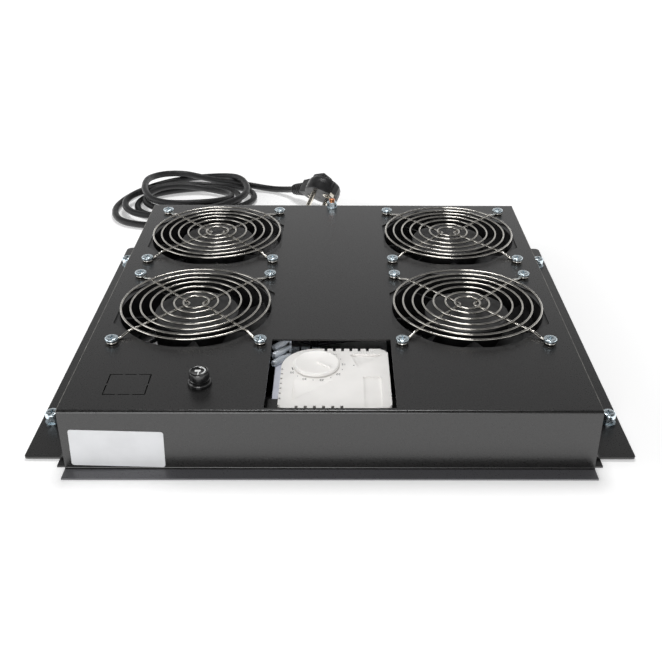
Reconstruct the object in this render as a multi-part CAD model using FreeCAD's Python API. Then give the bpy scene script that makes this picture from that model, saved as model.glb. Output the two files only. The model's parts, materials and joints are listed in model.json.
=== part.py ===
"""Rack fan tray: four mains fans, thermostat, fuse and earth stud on one folded sheet-steel tray.

Millimetres.  +X right, +Y to the rear, +Z up.  The origin is on the floor, under the middle of the tray.
"""
import FreeCAD, Part
import math
import os

V = FreeCAD.Vector
ORIGIN = V(0, 0, 0)
X_AXIS = V(1, 0, 0)
Y_AXIS = V(0, 1, 0)
Z_AXIS = V(0, 0, 1)

# ---------------------------------------------------------------- driving sizes
# Folded tray; its width and depth follow from the fans and the thermostat
TRAY_HEIGHT = 46.0
SHEET = 1.2
BEND_RADIUS = 1.0
LIP_DEPTH = 10.7

# Side panels, welded under the top plate between the front and rear walls
SIDE_LIP = 6.0
SIDE_TAB = 8.0
PANEL_END_GAP = 1.0

# Mounting brackets on the sides
BRACKET_SHEET = 1.5
BRACKET_FLANGE = 29.5
BRACKET_UPRIGHT = 30.0
BRACKET_BEND_RADIUS = 4.5
BRACKET_FRONT_INSET = 9.5
BRACKET_REAR_INSET = 6.5
BRACKET_FRONT_CORNER = 2.0
BRACKET_REAR_CORNER = 4.5
BRACKET_SCREW_OUTSET = 21.0
BRACKET_SCREW_SPACING = 250.0

# How far a cutter reaches past the face it cuts
CUT = 1.0

# Metric fasteners
THREAD_CLEARANCE = 0.05
HOLE_CLEARANCE = 0.25
M5_THREAD = 5.0
M5_ACROSS_FLATS = 8.0
M5_NUT_HEIGHT = 5.0
M5_NUT_FLANGE = 11.0
M5_NUT_FLANGE_HEIGHT = 1.1
M5_HEAD = 9.6
M5_HEAD_HEIGHT = 3.7
M4_THREAD = 4.0
M4_ACROSS_FLATS = 7.0
M4_NUT_HEIGHT = 3.2
M4_HEAD = 9.5
M4_HEAD_HEIGHT = 2.6
M4_POINT = 1.2
CROSS_RECESS_SPAN = 0.52
CROSS_RECESS_SLOT = 0.13
CROSS_RECESS_DEPTH = 0.55
HEAD_EDGE_ROUND = 0.42
HEX_CHAMFER_ANGLE = 30.0

# Fans
FAN_SIZE = 119.5
FAN_DEPTH = 38.0
FAN_WALL = 2.75
FAN_SCREW_INSET = 7.25
FAN_SIDE_GAP = 9.75
FAN_ROW_GAP = 14.5
FAN_REAR_GAP = 14.75
FAN_FRONT_GAP = 76.75
FAN_OPENING_INSET = 1.75
FAN_OPENING_SIDES = 8
FAN_FLANGE = 4.0
FAN_CORNER = 6.0
FAN_SCREW_HOLE = 4.5
STRUT_COUNT = 4
STRUT_WIDTH = 7.0
STRUT_HEIGHT = 4.0
STRUT_SINK = 2.0
STRUT_ANGLE = 45.0
MOTOR_BASE = 62.0
MOTOR_BASE_HEIGHT = 3.0
BEARING_TUBE = 15.0
BEARING_TUBE_WALL = 1.5
BEARING_TUBE_RISE = 1.0
BEARING_LENGTH = 6.0
SHAFT = 4.0
SHAFT_FIT = 0.03
SHAFT_END_FLOAT = 0.4
STATOR = 52.0
STATOR_HEIGHT = 17.0
STATOR_POLES = 4
STATOR_SLOT = 7.0
STATOR_SLOT_DEPTH = 9.0
HUB = 64.0
HUB_WALL = 2.0
HUB_TOP = 2.4
HUB_BOSS = 10.0
HUB_RECESS = 1.5
HUB_SKIRT_GAP = 1.5
HUB_EDGE_ROUND = 1.6
BLADE_COUNT = 7
BLADE_TIP_GAP = 1.4
BLADE_THICKNESS = 1.6
BLADE_ROOT_PITCH = 42.0
BLADE_TIP_PITCH = 27.0
BLADE_ROOT_CHORD = 25.0
BLADE_TIP_CHORD = 46.0
BLADE_ROOT_SINK = 1.0
BLADE_SWEEP = 14.0
BLADE_OVERRUN = 3.0
BLADE_DROP = 16.0

# Finger guards
INNER_RING = 9.6
RING_EDGE_GAP = 1.2
RING_STEPS = (7.0, 9.1, 8.3, 7.5, 7.3, 7.0)
RING_WIRE = 1.6
ARM_WIRE = 2.0
ARM_LIFT = 2.2
ARM_APEX_INSET = 5.3
ARM_APEX_BEND = 3.0
ARM_KNEE_BEND = 3.5
ARM_KNEE_OUTSET = 3.7
ARM_FOOT_INSET = 7.75
EYELET_CLEARANCE = 0.2
WELD_SINK = 0.3

# Thermostat window, tray, base, cover and dial
WINDOW_SIDE_GAP = 1.0
WINDOW_DEPTH = 85.0
WINDOW_FRONT_INSET = 4.0
THERMOSTAT_X = 2.8
THERMOSTAT_SIZE = 74.5
THERMOSTAT_SIDE_ROOM = 10.0
THERMOSTAT_REAR_GAP = 3.0
COVER_DROP = 6.0
COVER_HEIGHT = 8.0
COVER_WALL = 1.8
COVER_CORNER = 5.0
COVER_EDGE_ROUND = 1.2
BASE_HEIGHT = 20.0
BASE_WALL = 2.0
BASE_OVERHANG = 5.0
VENT_COUNT = 6
VENT_WIDTH = 1.7
VENT_PITCH = 5.7
VENT_DEPTH = 3.2
FRONT_VENT_START = -29.0
REAR_VENT_START = -7.6
SIDE_VENT_COUNT = 7
SIDE_VENT_START = -26.0
SIDE_VENT_DEPTH = 1.2
DIAL = 32.0
DIAL_HEIGHT = 2.6
DIAL_X = -12.9
DIAL_Y = 15.1
DIAL_LIFT = 0.4
DIAL_POINTER_LENGTH = 11.5
DIAL_POINTER_WIDTH = 1.8
DIAL_POINTER_HEIGHT = 0.9
DIAL_POINTER_ANGLE = -39.0
DIAL_EDGE_ROUND = 0.8
SPINDLE = 6.0
SPINDLE_FIT = 0.08
SPINDLE_ROOM = 0.5
SWITCH_LENGTH = 28.0
SWITCH_WIDTH = 16.0
SWITCH_HEIGHT = 13.0
SWITCH_BUSH_WALL = 3.0
TRAY_PLATE_SIDE_GAP = 4.8
TRAY_TAB = 10.0
TRAY_STRIP_FRONT_GAP = 3.0
TRAY_STRIP_LENGTH = 62.0
TONGUE_SIDE_GAP = 1.2
TONGUE_LENGTH = 38.0

# Terminal block on the tongue of the thermostat tray
TERMINAL_WAYS = 4
TERMINAL_PITCH = 8.0
TERMINAL_DEPTH = 16.0
TERMINAL_FOOT = 7.0
TERMINAL_TOWER = 12.0
TERMINAL_TOWER_WIDTH = 6.4
TERMINAL_TOWER_INSET = 1.0
TERMINAL_SCREW_HOLE = 3.4
TERMINAL_SCREW_DEPTH = 5.0
TERMINAL_WIRE_HOLE = 3.6
TERMINAL_SIDE_GAP = 4.25
TERMINAL_GAP = 2.5

# Knock-out for a rocker switch
KNOCKOUT_WIDTH = 28.0
KNOCKOUT_DEPTH = 24.5
KNOCKOUT_LEFT_INSET = 38.8
KNOCKOUT_FRONT_INSET = 30.7
KNOCKOUT_SLOT = 0.8
KNOCKOUT_BRIDGE = 1.6

# Fuse holder
FUSE_LEFT_INSET = 86.3
FUSE_FRONT_INSET = 32.0
FUSE_FLANGE = 16.0
FUSE_FLANGE_HEIGHT = 3.0
FUSE_BARREL = 12.4
FUSE_BARREL_LENGTH = 31.0
FUSE_BORE = 8.4
FUSE_FLOOR = 3.0
FUSE_NUT_ACROSS_FLATS = 17.0
FUSE_NUT_HEIGHT = 4.0
FUSE_CAP = 13.6
FUSE_CAP_HEIGHT = 7.0
FUSE_CAP_ROUND = 1.2
FUSE_CAP_SLOT = 1.4
FUSE_CAP_SLOT_SPAN = 8.7
FUSE_CAP_SLOT_DEPTH = 1.0
FUSE_STEM_LENGTH = 6.0
FUSE_STEM_FIT = 0.08
CARTRIDGE = 5.2
CARTRIDGE_LENGTH = 20.0
FUSE_TAB_WIDTH = 2.8
FUSE_TAB_THICKNESS = 0.8
FUSE_TAB_LENGTH = 7.0
FUSE_TAB_OFFSET = 3.0

# Earth stud
EARTH_X = -1.4
EARTH_REAR_INSET = 6.5
EARTH_FREE_END = 3.0
EARTH_TIP_ROUND = 0.6
EARTH_HEAD = 8.0
EARTH_HEAD_HEIGHT = 1.6
EARTH_WASHER = 9.6
EARTH_WASHER_HEIGHT = 0.9

# Bare rating label on the front wall
LABEL_WIDTH = 60.5
LABEL_HEIGHT = 28.0
LABEL_THICKNESS = 0.2
LABEL_CORNER = 1.8
LABEL_LEFT_INSET = 31.3
LABEL_Z = 18.2
LABEL_TILT = 1.7

# Cord, gland and plug
CORD = 7.0
GLAND_X = -40.0
GLAND_Z = 18.0
GLAND_THREAD = 15.6
GLAND_FLANGE = 20.0
GLAND_FLANGE_HEIGHT = 4.0
GLAND_NOSE_LENGTH = 24.0
GLAND_NOSE_ROOT = 14.0
GLAND_NOSE_TIP = 9.6
GLAND_INNER_LENGTH = 8.0
GLAND_NUT_ACROSS_FLATS = 20.0
GLAND_NUT_HEIGHT = 4.5
COIL_X = -163.0
COIL_Y = 290.0
COIL_OUTER = 146.0
COIL_HOLE = 46.0
COIL_HOLE_SHIFT = V(5.0, -10.0, 0)
COIL_HEIGHT = 21.0
COIL_ROUND = 6.0
PLUG_FACE = 37.0
PLUG_FACE_HEIGHT = 17.0
PLUG_NECK_LENGTH = 31.0
PLUG_NECK_WIDTH = 17.0
PLUG_NECK_HEIGHT = 15.0
PLUG_GRIP_LENGTH = 21.0
PLUG_GRIP_WIDTH = 14.0
PLUG_GRIP_HEIGHT = 8.0
PLUG_GRIP_SETBACK = 10.5
PLUG_PIN = 4.8
PLUG_PIN_LENGTH = 19.0
PLUG_PIN_SPACING = 19.0
PLUG_PIN_ROUND = 1.9
PLUG_CORD_HEIGHT = 9.5
PLUG_EARTH_HOLE = 4.8
PLUG_EARTH_HOLE_X = 10.0
PLUG_EARTH_RIM = 8.0
PLUG_EARTH_DEPTH = 3.0
PLUG_CLIP_WIDTH = 6.0
PLUG_CLIP_THICKNESS = 1.4
PLUG_CLIP_LENGTH = 13.0
RELIEF_LENGTH = 20.0
RELIEF_ROOT = 15.0
RELIEF_TIP = 12.0
RELIEF_RIBS = 5
RELIEF_RIB_GAP = 1.6
RELIEF_RIB_DEPTH = 1.2
RELIEF_PLAIN_END = 3.0
PLUG_HEAD_ROUND = 3.0
PLUG_GRIP_ROUND = 2.0
PLUG_SOCKET_DEPTH = 4.0
PLUG_TILT = -45.2
PLUG_PITCH = -17.0
PLUG_YAW = -47.2
PLUG_X = -14.5
PLUG_Y = 260.4
PLUG_STRAIGHT = 15.0
CORD_DROP = (V(0, 35.5, -5.0), V(-22.0, 58.5, -12.0), V(-57.0, 61.5, -14.2), V(-84.0, 39.5, -14.2))
LEAD_FROM_COIL = (V(39.0, 49.0, 9.0), V(66.0, 37.0, 3.8), V(93.0, 33.5, 3.8))

# Wires inside the tray
TRUNK_WIRE = 6.0
TRUNK_OFFSET = 14.0
TRUNK_BENDS = (10.0, 16.0)
TRUNK_CORNERS = (12.0, 42.0)
BRANCH_WIRE = 2.6
BRANCH_BEND = 5.0
FAN_LEAD_Z = 20.0
FAN_LEAD_STRAIGHT = 11.0
FAN_LEAD_SETBACK = 16.0
FUSE_LEAD_START = 10.0
FUSE_LEAD_SPREAD = 1.95
FUSE_LEAD_CORNERS = (V(4.0, 7.0, 0), V(-4.0, -8.0, 0), V(-8.0, -33.0, 0), V(-29.0, -46.0, -4.0))
EARTH_LEAD_SETBACK = 7.0
EARTH_LEAD_CORNER = V(16.0, 0, 6.0)
EARTH_LEAD_DROP = 12.0
WIRE_END_GAP = 0.8

# ---------------------------------------------------------------- places that follow from the sizes
WINDOW_WIDTH = THERMOSTAT_SIZE + THERMOSTAT_SIDE_ROOM
FAN_COLUMN_PITCH = FAN_SIZE + WINDOW_WIDTH + 2 * WINDOW_SIDE_GAP
FAN_ROW_PITCH = FAN_SIZE + FAN_ROW_GAP
TRAY_WIDTH = FAN_COLUMN_PITCH + FAN_SIZE + 2 * FAN_SIDE_GAP
TRAY_DEPTH = FAN_FRONT_GAP + FAN_ROW_PITCH + FAN_SIZE + FAN_REAR_GAP
HALF_WIDTH = TRAY_WIDTH / 2
HALF_DEPTH = TRAY_DEPTH / 2
PLATE_UNDERSIDE = TRAY_HEIGHT - SHEET
FRONT = -HALF_DEPTH
BRACKET_LENGTH = TRAY_DEPTH - BRACKET_FRONT_INSET - BRACKET_REAR_INSET
FAN_BLOCK_Y = HALF_DEPTH - FAN_REAR_GAP - FAN_SIZE - FAN_ROW_GAP / 2
FAN_SCREW_PITCH = FAN_SIZE - 2 * FAN_SCREW_INSET
FAN_OPENING = FAN_SIZE - 2 * FAN_OPENING_INSET
FAN_BORE = FAN_SIZE - 2 * FAN_WALL
RING_SPREAD = (FAN_BORE / 2 - RING_EDGE_GAP - INNER_RING) / sum(RING_STEPS)
RING_RADII = [INNER_RING + RING_SPREAD * sum(RING_STEPS[:count]) for count in range(len(RING_STEPS), -1, -1)]
FAN_PLACES = {
    "front_left": V(-FAN_COLUMN_PITCH / 2, FAN_BLOCK_Y - FAN_ROW_PITCH / 2, 0),
    "front_right": V(FAN_COLUMN_PITCH / 2, FAN_BLOCK_Y - FAN_ROW_PITCH / 2, 0),
    "rear_left": V(-FAN_COLUMN_PITCH / 2, FAN_BLOCK_Y + FAN_ROW_PITCH / 2, 0),
    "rear_right": V(FAN_COLUMN_PITCH / 2, FAN_BLOCK_Y + FAN_ROW_PITCH / 2, 0),
}
FAN_CORNERS = [V(sx, sy, 0) * (FAN_SCREW_PITCH / 2) for sx in (-1, 1) for sy in (-1, 1)]
GUARD_SCREW_PLACES = [place + corner for place in FAN_PLACES.values() for corner in FAN_CORNERS]
BRACKET_MIDDLE_Y = FRONT + BRACKET_FRONT_INSET + BRACKET_LENGTH / 2
BRACKET_TOP = SHEET + BRACKET_SHEET
BRACKET_SCREW_PLACES = [
    V(sx * (HALF_WIDTH + BRACKET_SCREW_OUTSET), BRACKET_MIDDLE_Y + sy * BRACKET_SCREW_SPACING / 2, 0)
    for sx in (-1, 1) for sy in (-1, 1)
]
WINDOW_Y0 = FRONT + WINDOW_FRONT_INSET
WINDOW_Y1 = WINDOW_Y0 + WINDOW_DEPTH
COVER_TOP = TRAY_HEIGHT - COVER_DROP
BASE_TOP = COVER_TOP - COVER_HEIGHT
TRAY_PLATE_TOP = BASE_TOP - BASE_HEIGHT
THERMOSTAT_Y = WINDOW_Y1 - THERMOSTAT_REAR_GAP - THERMOSTAT_SIZE / 2
DIAL_PLACE = V(THERMOSTAT_X + DIAL_X, THERMOSTAT_Y + DIAL_Y, 0)
KNOCKOUT_X = KNOCKOUT_LEFT_INSET - HALF_WIDTH
LABEL_X = LABEL_LEFT_INSET - HALF_WIDTH
TERMINAL_X = (TERMINAL_SIDE_GAP + (TERMINAL_WAYS - 1) * TERMINAL_PITCH / 2
              - (FAN_COLUMN_PITCH - FAN_SIZE) / 2)
FUSE_PLACE = V(FUSE_LEFT_INSET - HALF_WIDTH, FRONT + FUSE_FRONT_INSET, 0)
EARTH_PLACE = V(EARTH_X, HALF_DEPTH - EARTH_REAR_INSET, 0)
CORD_EXIT = V(GLAND_X, HALF_DEPTH + GLAND_FLANGE_HEIGHT + GLAND_NOSE_LENGTH, GLAND_Z)
COIL_PLACE = V(COIL_X, COIL_Y, 0)


# ---------------------------------------------------------------- small shape helpers
def box(x0, x1, y0, y1, z0, z1):
    return Part.makeBox(x1 - x0, y1 - y0, z1 - z0, V(x0, y0, z0))


def disc(diameter, z0, z1, at=ORIGIN):
    return Part.makeCylinder(diameter / 2, z1 - z0, V(at.x, at.y, z0))


def polygon_prism(sides, across_flats, z0, z1, at=ORIGIN, turn=0.0):
    radius = across_flats / 2 / math.cos(math.pi / sides)
    corners = []
    for index in range(sides + 1):
        angle = math.radians(turn) + 2 * math.pi * index / sides
        corners.append(V(at.x + radius * math.cos(angle), at.y + radius * math.sin(angle), z0))
    return Part.Face(Part.makePolygon(corners)).extrude(V(0, 0, z1 - z0))


def rounded_plate(x0, x1, y0, y1, z0, z1, radii):
    """A plate whose vertical corners are rounded; radii run front-left, front-right, rear-right, rear-left."""
    plate = box(x0, x1, y0, y1, z0, z1)
    corners = ((x0, y0), (x1, y0), (x1, y1), (x0, y1))
    for (x, y), radius in zip(corners, radii):
        plate = plate.makeFillet(radius, [vertical_edge(plate, x, y)])
    return plate


def vertical_edge(shape, x, y):
    def distance(edge):
        middle = edge.CenterOfMass
        return math.hypot(middle.x - x, middle.y - y)

    upright = [edge for edge in shape.Edges
               if len(edge.Vertexes) == 2 and abs(edge.tangentAt(edge.FirstParameter).z) > 0.999]
    return min(upright, key=distance)


def round_top_edges(shape, radius):
    """Fillets every edge that lies in the shape's highest face."""
    top = max(shape.Faces, key=lambda face: face.CenterOfMass.z)
    return shape.makeFillet(radius, top.OuterWire.Edges)


def rounded_edges(points, radii):
    """Straight runs joined by tangent arcs, with one radius for each inner point."""
    edges = []
    start = points[0]
    for before, corner, after, radius in zip(points, points[1:], points[2:], radii):
        to_before = (before - corner).normalize()
        to_after = (after - corner).normalize()
        half = to_before.getAngle(to_after) / 2
        reach = radius / math.tan(half)
        middle = corner + (to_before + to_after).normalize() * (radius / math.sin(half) - radius)
        edges.append(Part.LineSegment(start, corner + to_before * reach).toShape())
        edges.append(Part.Arc(corner + to_before * reach, middle, corner + to_after * reach).toShape())
        start = corner + to_after * reach
    edges.append(Part.LineSegment(start, points[-1]).toShape())
    return edges


def tube(points, radii, diameter):
    path = Part.Wire(rounded_edges(points, radii))
    ring = Part.Wire(Part.makeCircle(diameter / 2, points[0], points[1] - points[0]))
    return path.makePipeShell([ring], True, False)


def offset_path(path, distance, axis):
    """The path moved sideways by distance, to its right as seen along axis, with mitred corners."""
    shifted = []
    for index, point in enumerate(path):
        sides = []
        for first, second in zip(path[max(index - 1, 0):index + 1], path[max(index, 1):index + 2]):
            sides.append((second - first).normalize().cross(axis))
        total = sides[0] + sides[-1]
        shifted.append(point + total * (2 * distance / total.dot(total)))
    return shifted


def folded_sheet(path, thickness, bend_radius, axis, length):
    """A sheet folded along path, its outer face, with the metal to the right of the path."""
    inside = offset_path(path, thickness, axis)
    outer_radii = []
    inner_radii = []
    for before, corner, after in zip(path, path[1:], path[2:]):
        turns_right = axis.dot((corner - before).cross(after - corner)) < 0
        outer_radii.append(bend_radius + (thickness if turns_right else 0))
        inner_radii.append(bend_radius + (0 if turns_right else thickness))
    edges = rounded_edges(path, outer_radii)
    edges.append(Part.LineSegment(path[-1], inside[-1]).toShape())
    edges += rounded_edges(inside[::-1], inner_radii[::-1])
    edges.append(Part.LineSegment(inside[0], path[0]).toShape())
    return Part.Face(Part.Wire(edges)).extrude(axis * length)


def mirrored(shape):
    return shape.mirror(ORIGIN, X_AXIS)


def moved(shapes, shift):
    twins = [shape.copy() for shape in shapes]
    for twin in twins:
        twin.translate(shift)
    return twins


def copies(shape, places):
    return [moved([shape], place)[0] for place in places]


def save(name, shape):
    """Writes one node from a shape or a list of solids, and prints what it holds."""
    solids = Part.makeCompound(shape).Solids if isinstance(shape, list) else shape.Solids
    whole = solids[0] if len(solids) == 1 else Part.makeCompound(solids)
    whole.exportStep("parts/" + name + ".step")
    print("%-28s %d solid(s)  %10.1f mm3  valid %s" % (name, len(whole.Solids), whole.Volume, whole.isValid()))


# ---------------------------------------------------------------- fasteners
def pan_head_screw(thread, head, head_height, length, under_head):
    """A cross-recess screw along Z whose head rests at height under_head."""
    cap = round_top_edges(disc(head, under_head, under_head + head_height), head_height * HEAD_EDGE_ROUND)
    shank = disc(thread, under_head - length, under_head)
    top = under_head + head_height
    span = head * CROSS_RECESS_SPAN / 2
    slot = head * CROSS_RECESS_SLOT / 2
    floor = top - head_height * CROSS_RECESS_DEPTH
    cross = box(-span, span, -slot, slot, floor, top).fuse(box(-slot, slot, -span, span, floor, top))
    return cap.fuse(shank).cut(cross).removeSplitter()


def hex_nut(across_flats, height, thread, base, flange=0.0, flange_height=0.0):
    """A hex nut standing on height base, chamfered at its top, with a round flange if one is given."""
    top_radius = across_flats / 2
    foot_radius = top_radius + height * math.tan(math.radians(90 - HEX_CHAMFER_ANGLE))
    body = polygon_prism(6, across_flats, base, base + height)
    body = body.common(Part.makeCone(foot_radius, top_radius, height, V(0, 0, base)))
    if flange:
        body = body.fuse(disc(flange, base, base + flange_height))
    return body.cut(disc(thread + 2 * THREAD_CLEARANCE, base - CUT, base + height + CUT)).removeSplitter()


# ---------------------------------------------------------------- tray sheet metal
def knockout_slots():
    """Slots around the switch blank, broken by bridges that hold it in the plate."""
    y = FRONT + KNOCKOUT_FRONT_INSET
    half_width = KNOCKOUT_WIDTH / 2
    half_depth = KNOCKOUT_DEPTH / 2
    outer = box(-half_width, half_width, -half_depth, half_depth, PLATE_UNDERSIDE - CUT, TRAY_HEIGHT + CUT)
    blank = box(-half_width + KNOCKOUT_SLOT, half_width - KNOCKOUT_SLOT,
                -half_depth + KNOCKOUT_SLOT, half_depth - KNOCKOUT_SLOT,
                PLATE_UNDERSIDE - CUT, TRAY_HEIGHT + CUT)
    slots = outer.cut(blank)
    bridge = KNOCKOUT_BRIDGE / 2
    slots = slots.cut(box(-half_width, half_width, -bridge, bridge, PLATE_UNDERSIDE - CUT, TRAY_HEIGHT + CUT))
    for side in (-1, 1):
        x = side * half_width / 3
        slots = slots.cut(box(x - bridge, x + bridge, -half_depth, half_depth,
                              PLATE_UNDERSIDE - CUT, TRAY_HEIGHT + CUT))
    slots.translate(V(KNOCKOUT_X, y, 0))
    return slots


def tray_chassis():
    start = V(-HALF_WIDTH, 0, 0)
    path = [
        start + V(0, -HALF_DEPTH - LIP_DEPTH, SHEET),
        start + V(0, -HALF_DEPTH, SHEET),
        start + V(0, -HALF_DEPTH, TRAY_HEIGHT),
        start + V(0, HALF_DEPTH, TRAY_HEIGHT),
        start + V(0, HALF_DEPTH, SHEET),
        start + V(0, HALF_DEPTH + LIP_DEPTH, SHEET),
    ]
    chassis = folded_sheet(path, SHEET, BEND_RADIUS, X_AXIS, TRAY_WIDTH)
    low = PLATE_UNDERSIDE - CUT
    high = TRAY_HEIGHT + CUT
    half_side = 180 / FAN_OPENING_SIDES
    cutters = [polygon_prism(FAN_OPENING_SIDES, FAN_OPENING, low, high, place, half_side)
               for place in FAN_PLACES.values()]
    cutters += [disc(FAN_SCREW_HOLE, low, high, place) for place in GUARD_SCREW_PLACES]
    cutters.append(box(-WINDOW_WIDTH / 2, WINDOW_WIDTH / 2, WINDOW_Y0, WINDOW_Y1, low, high))
    cutters.append(knockout_slots())
    cutters.append(disc(FUSE_BARREL + 2 * HOLE_CLEARANCE, low, high, FUSE_PLACE))
    cutters.append(disc(M5_THREAD + 2 * HOLE_CLEARANCE, low, high, EARTH_PLACE))
    gland_hole = Part.makeCylinder(GLAND_THREAD / 2 + HOLE_CLEARANCE, 2 * SHEET,
                                   V(GLAND_X, HALF_DEPTH - 1.5 * SHEET, GLAND_Z), Y_AXIS)
    cutters.append(gland_hole)
    return chassis.cut(cutters)


def side_panel():
    """The right side panel: lip on the floor, wall, and the tab welded under the top plate."""
    y0 = FRONT + SHEET + PANEL_END_GAP
    path = [
        V(HALF_WIDTH + SIDE_LIP, y0, SHEET),
        V(HALF_WIDTH, y0, SHEET),
        V(HALF_WIDTH, y0, PLATE_UNDERSIDE),
        V(HALF_WIDTH - SIDE_TAB, y0, PLATE_UNDERSIDE),
    ]
    return folded_sheet(path, SHEET, BEND_RADIUS, Y_AXIS, TRAY_DEPTH - 2 * (SHEET + PANEL_END_GAP))


def side_bracket():
    """The right bracket: a wide flange resting on the side lip, bent up against the wall."""
    y0 = FRONT + BRACKET_FRONT_INSET
    tip = HALF_WIDTH + BRACKET_FLANGE
    path = [
        V(tip, y0, BRACKET_TOP),
        V(HALF_WIDTH + BRACKET_SHEET, y0, BRACKET_TOP),
        V(HALF_WIDTH + BRACKET_SHEET, y0, BRACKET_TOP + BRACKET_UPRIGHT),
    ]
    bracket = folded_sheet(path, BRACKET_SHEET, BRACKET_BEND_RADIUS, Y_AXIS, BRACKET_LENGTH)
    bracket = bracket.makeFillet(BRACKET_FRONT_CORNER, [vertical_edge(bracket, tip, y0)])
    bracket = bracket.makeFillet(BRACKET_REAR_CORNER, [vertical_edge(bracket, tip, y0 + BRACKET_LENGTH)])
    holes = [disc(M5_THREAD + 2 * HOLE_CLEARANCE, SHEET - CUT, BRACKET_TOP + CUT, place)
             for place in BRACKET_SCREW_PLACES if place.x > 0]
    return bracket.cut(holes)


# ---------------------------------------------------------------- fans, drawn about their own axis
def fan_frame():
    top = PLATE_UNDERSIDE
    bottom = top - FAN_DEPTH
    half = FAN_SIZE / 2
    square = rounded_plate(-half, half, -half, half, bottom, top, [FAN_CORNER] * 4)
    waist = disc(FAN_SIZE, bottom, top)
    between_flanges = box(-half - CUT, half + CUT, -half - CUT, half + CUT,
                          bottom + FAN_FLANGE, top - FAN_FLANGE)
    ears = square.cut(between_flanges)
    frame = ears.fuse(waist).cut(disc(FAN_BORE, bottom - CUT, top + CUT))
    base_top = bottom + MOTOR_BASE_HEIGHT
    frame = frame.fuse(disc(MOTOR_BASE, bottom, base_top))
    reach = (FAN_BORE + FAN_SIZE) / 4
    for index in range(STRUT_COUNT):
        strut = box(MOTOR_BASE / 2 - STRUT_SINK, reach, -STRUT_WIDTH / 2, STRUT_WIDTH / 2,
                    bottom, bottom + STRUT_HEIGHT)
        strut.rotate(ORIGIN, Z_AXIS, STRUT_ANGLE + 360 / STRUT_COUNT * index)
        frame = frame.fuse(strut)
    frame = frame.fuse(disc(BEARING_TUBE, bottom, bearing_span()[1]))
    frame = frame.cut(disc(BEARING_TUBE - 2 * BEARING_TUBE_WALL, base_top - CUT, top))
    frame = frame.cut([disc(FAN_SCREW_HOLE, bottom - CUT, top + CUT, corner) for corner in FAN_CORNERS])
    return frame.removeSplitter()


def fan_stator():
    """Laminated core and windings, pushed over the bearing tube."""
    base = PLATE_UNDERSIDE - FAN_DEPTH + MOTOR_BASE_HEIGHT
    stator = disc(STATOR, base, base + STATOR_HEIGHT)
    slot = box(STATOR / 2 - STATOR_SLOT_DEPTH, STATOR, -STATOR_SLOT / 2, STATOR_SLOT / 2,
               base - CUT, base + STATOR_HEIGHT + CUT)
    for index in range(STATOR_POLES):
        turned = slot.copy()
        turned.rotate(ORIGIN, Z_AXIS, 360 / STATOR_POLES * index)
        stator = stator.cut(turned)
    return stator.cut(disc(BEARING_TUBE, base - CUT, base + STATOR_HEIGHT + CUT))


def bearing_span():
    low = PLATE_UNDERSIDE - FAN_DEPTH + MOTOR_BASE_HEIGHT
    return low, low + STATOR_HEIGHT + BEARING_TUBE_RISE


def fan_bearings():
    """Two sintered bushes, one at each end of the bearing tube."""
    low, high = bearing_span()
    outer = BEARING_TUBE - 2 * BEARING_TUBE_WALL
    bore = SHAFT + 2 * SHAFT_FIT
    bushes = []
    for z0 in (low + SHAFT_END_FLOAT, high - BEARING_LENGTH):
        bush = disc(outer, z0, z0 + BEARING_LENGTH)
        bushes.append(bush.cut(disc(bore, z0 - CUT, z0 + BEARING_LENGTH + CUT)))
    return bushes


def hub_top():
    return PLATE_UNDERSIDE - HUB_RECESS


def fan_shaft():
    low, high = bearing_span()
    return disc(SHAFT, low + SHAFT_END_FLOAT, hub_top() - HUB_TOP)


def blade_section(radius, chord, pitch, lead):
    """One closed blade outline standing at the given radius, pitched about the radial line."""
    half_chord = chord / 2
    half_thick = BLADE_THICKNESS / 2
    corners = [(-half_chord, -half_thick / 2), (0, -half_thick), (half_chord, -half_thick / 2),
               (half_chord, half_thick / 2), (0, half_thick), (-half_chord, half_thick / 2)]
    angle = math.radians(pitch)
    middle = hub_top() - BLADE_DROP
    points = []
    for along, across in corners:
        y = along * math.cos(angle) - across * math.sin(angle)
        z = along * math.sin(angle) + across * math.cos(angle)
        points.append(V(radius, y + lead, middle + z))
    points.append(points[0])
    return Part.makePolygon(points)


def fan_rotor():
    """Hub cup that spins outside the stator, with the blades on its skirt."""
    top = hub_top()
    skirt = PLATE_UNDERSIDE - FAN_DEPTH + MOTOR_BASE_HEIGHT + HUB_SKIRT_GAP
    hub = round_top_edges(disc(HUB, skirt, top), HUB_EDGE_ROUND)
    hub = hub.cut(disc(HUB - 2 * HUB_WALL, skirt - CUT, top - HUB_TOP))
    low, high = bearing_span()
    boss = disc(HUB_BOSS, high + SHAFT_END_FLOAT, top - HUB_TOP / 2)
    hub = hub.fuse(boss).cut(disc(SHAFT, skirt, top - HUB_TOP))
    tip_radius = FAN_BORE / 2 - BLADE_TIP_GAP
    root = blade_section(HUB / 2 - BLADE_ROOT_SINK, BLADE_ROOT_CHORD, BLADE_ROOT_PITCH, 0)
    tip = blade_section(FAN_BORE / 2 + BLADE_OVERRUN, BLADE_TIP_CHORD, BLADE_TIP_PITCH, BLADE_SWEEP)
    blade = Part.makeLoft([root, tip], True, True)
    sweep_room = disc(2 * tip_radius, skirt, top).cut(disc(HUB - 2 * BLADE_ROOT_SINK, skirt - CUT, top + CUT))
    blade = blade.common(sweep_room)
    blades = []
    for index in range(BLADE_COUNT):
        turned = blade.copy()
        turned.rotate(ORIGIN, Z_AXIS, 360 / BLADE_COUNT * index)
        blades.append(turned)
    return hub.fuse(blades).removeSplitter()


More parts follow.
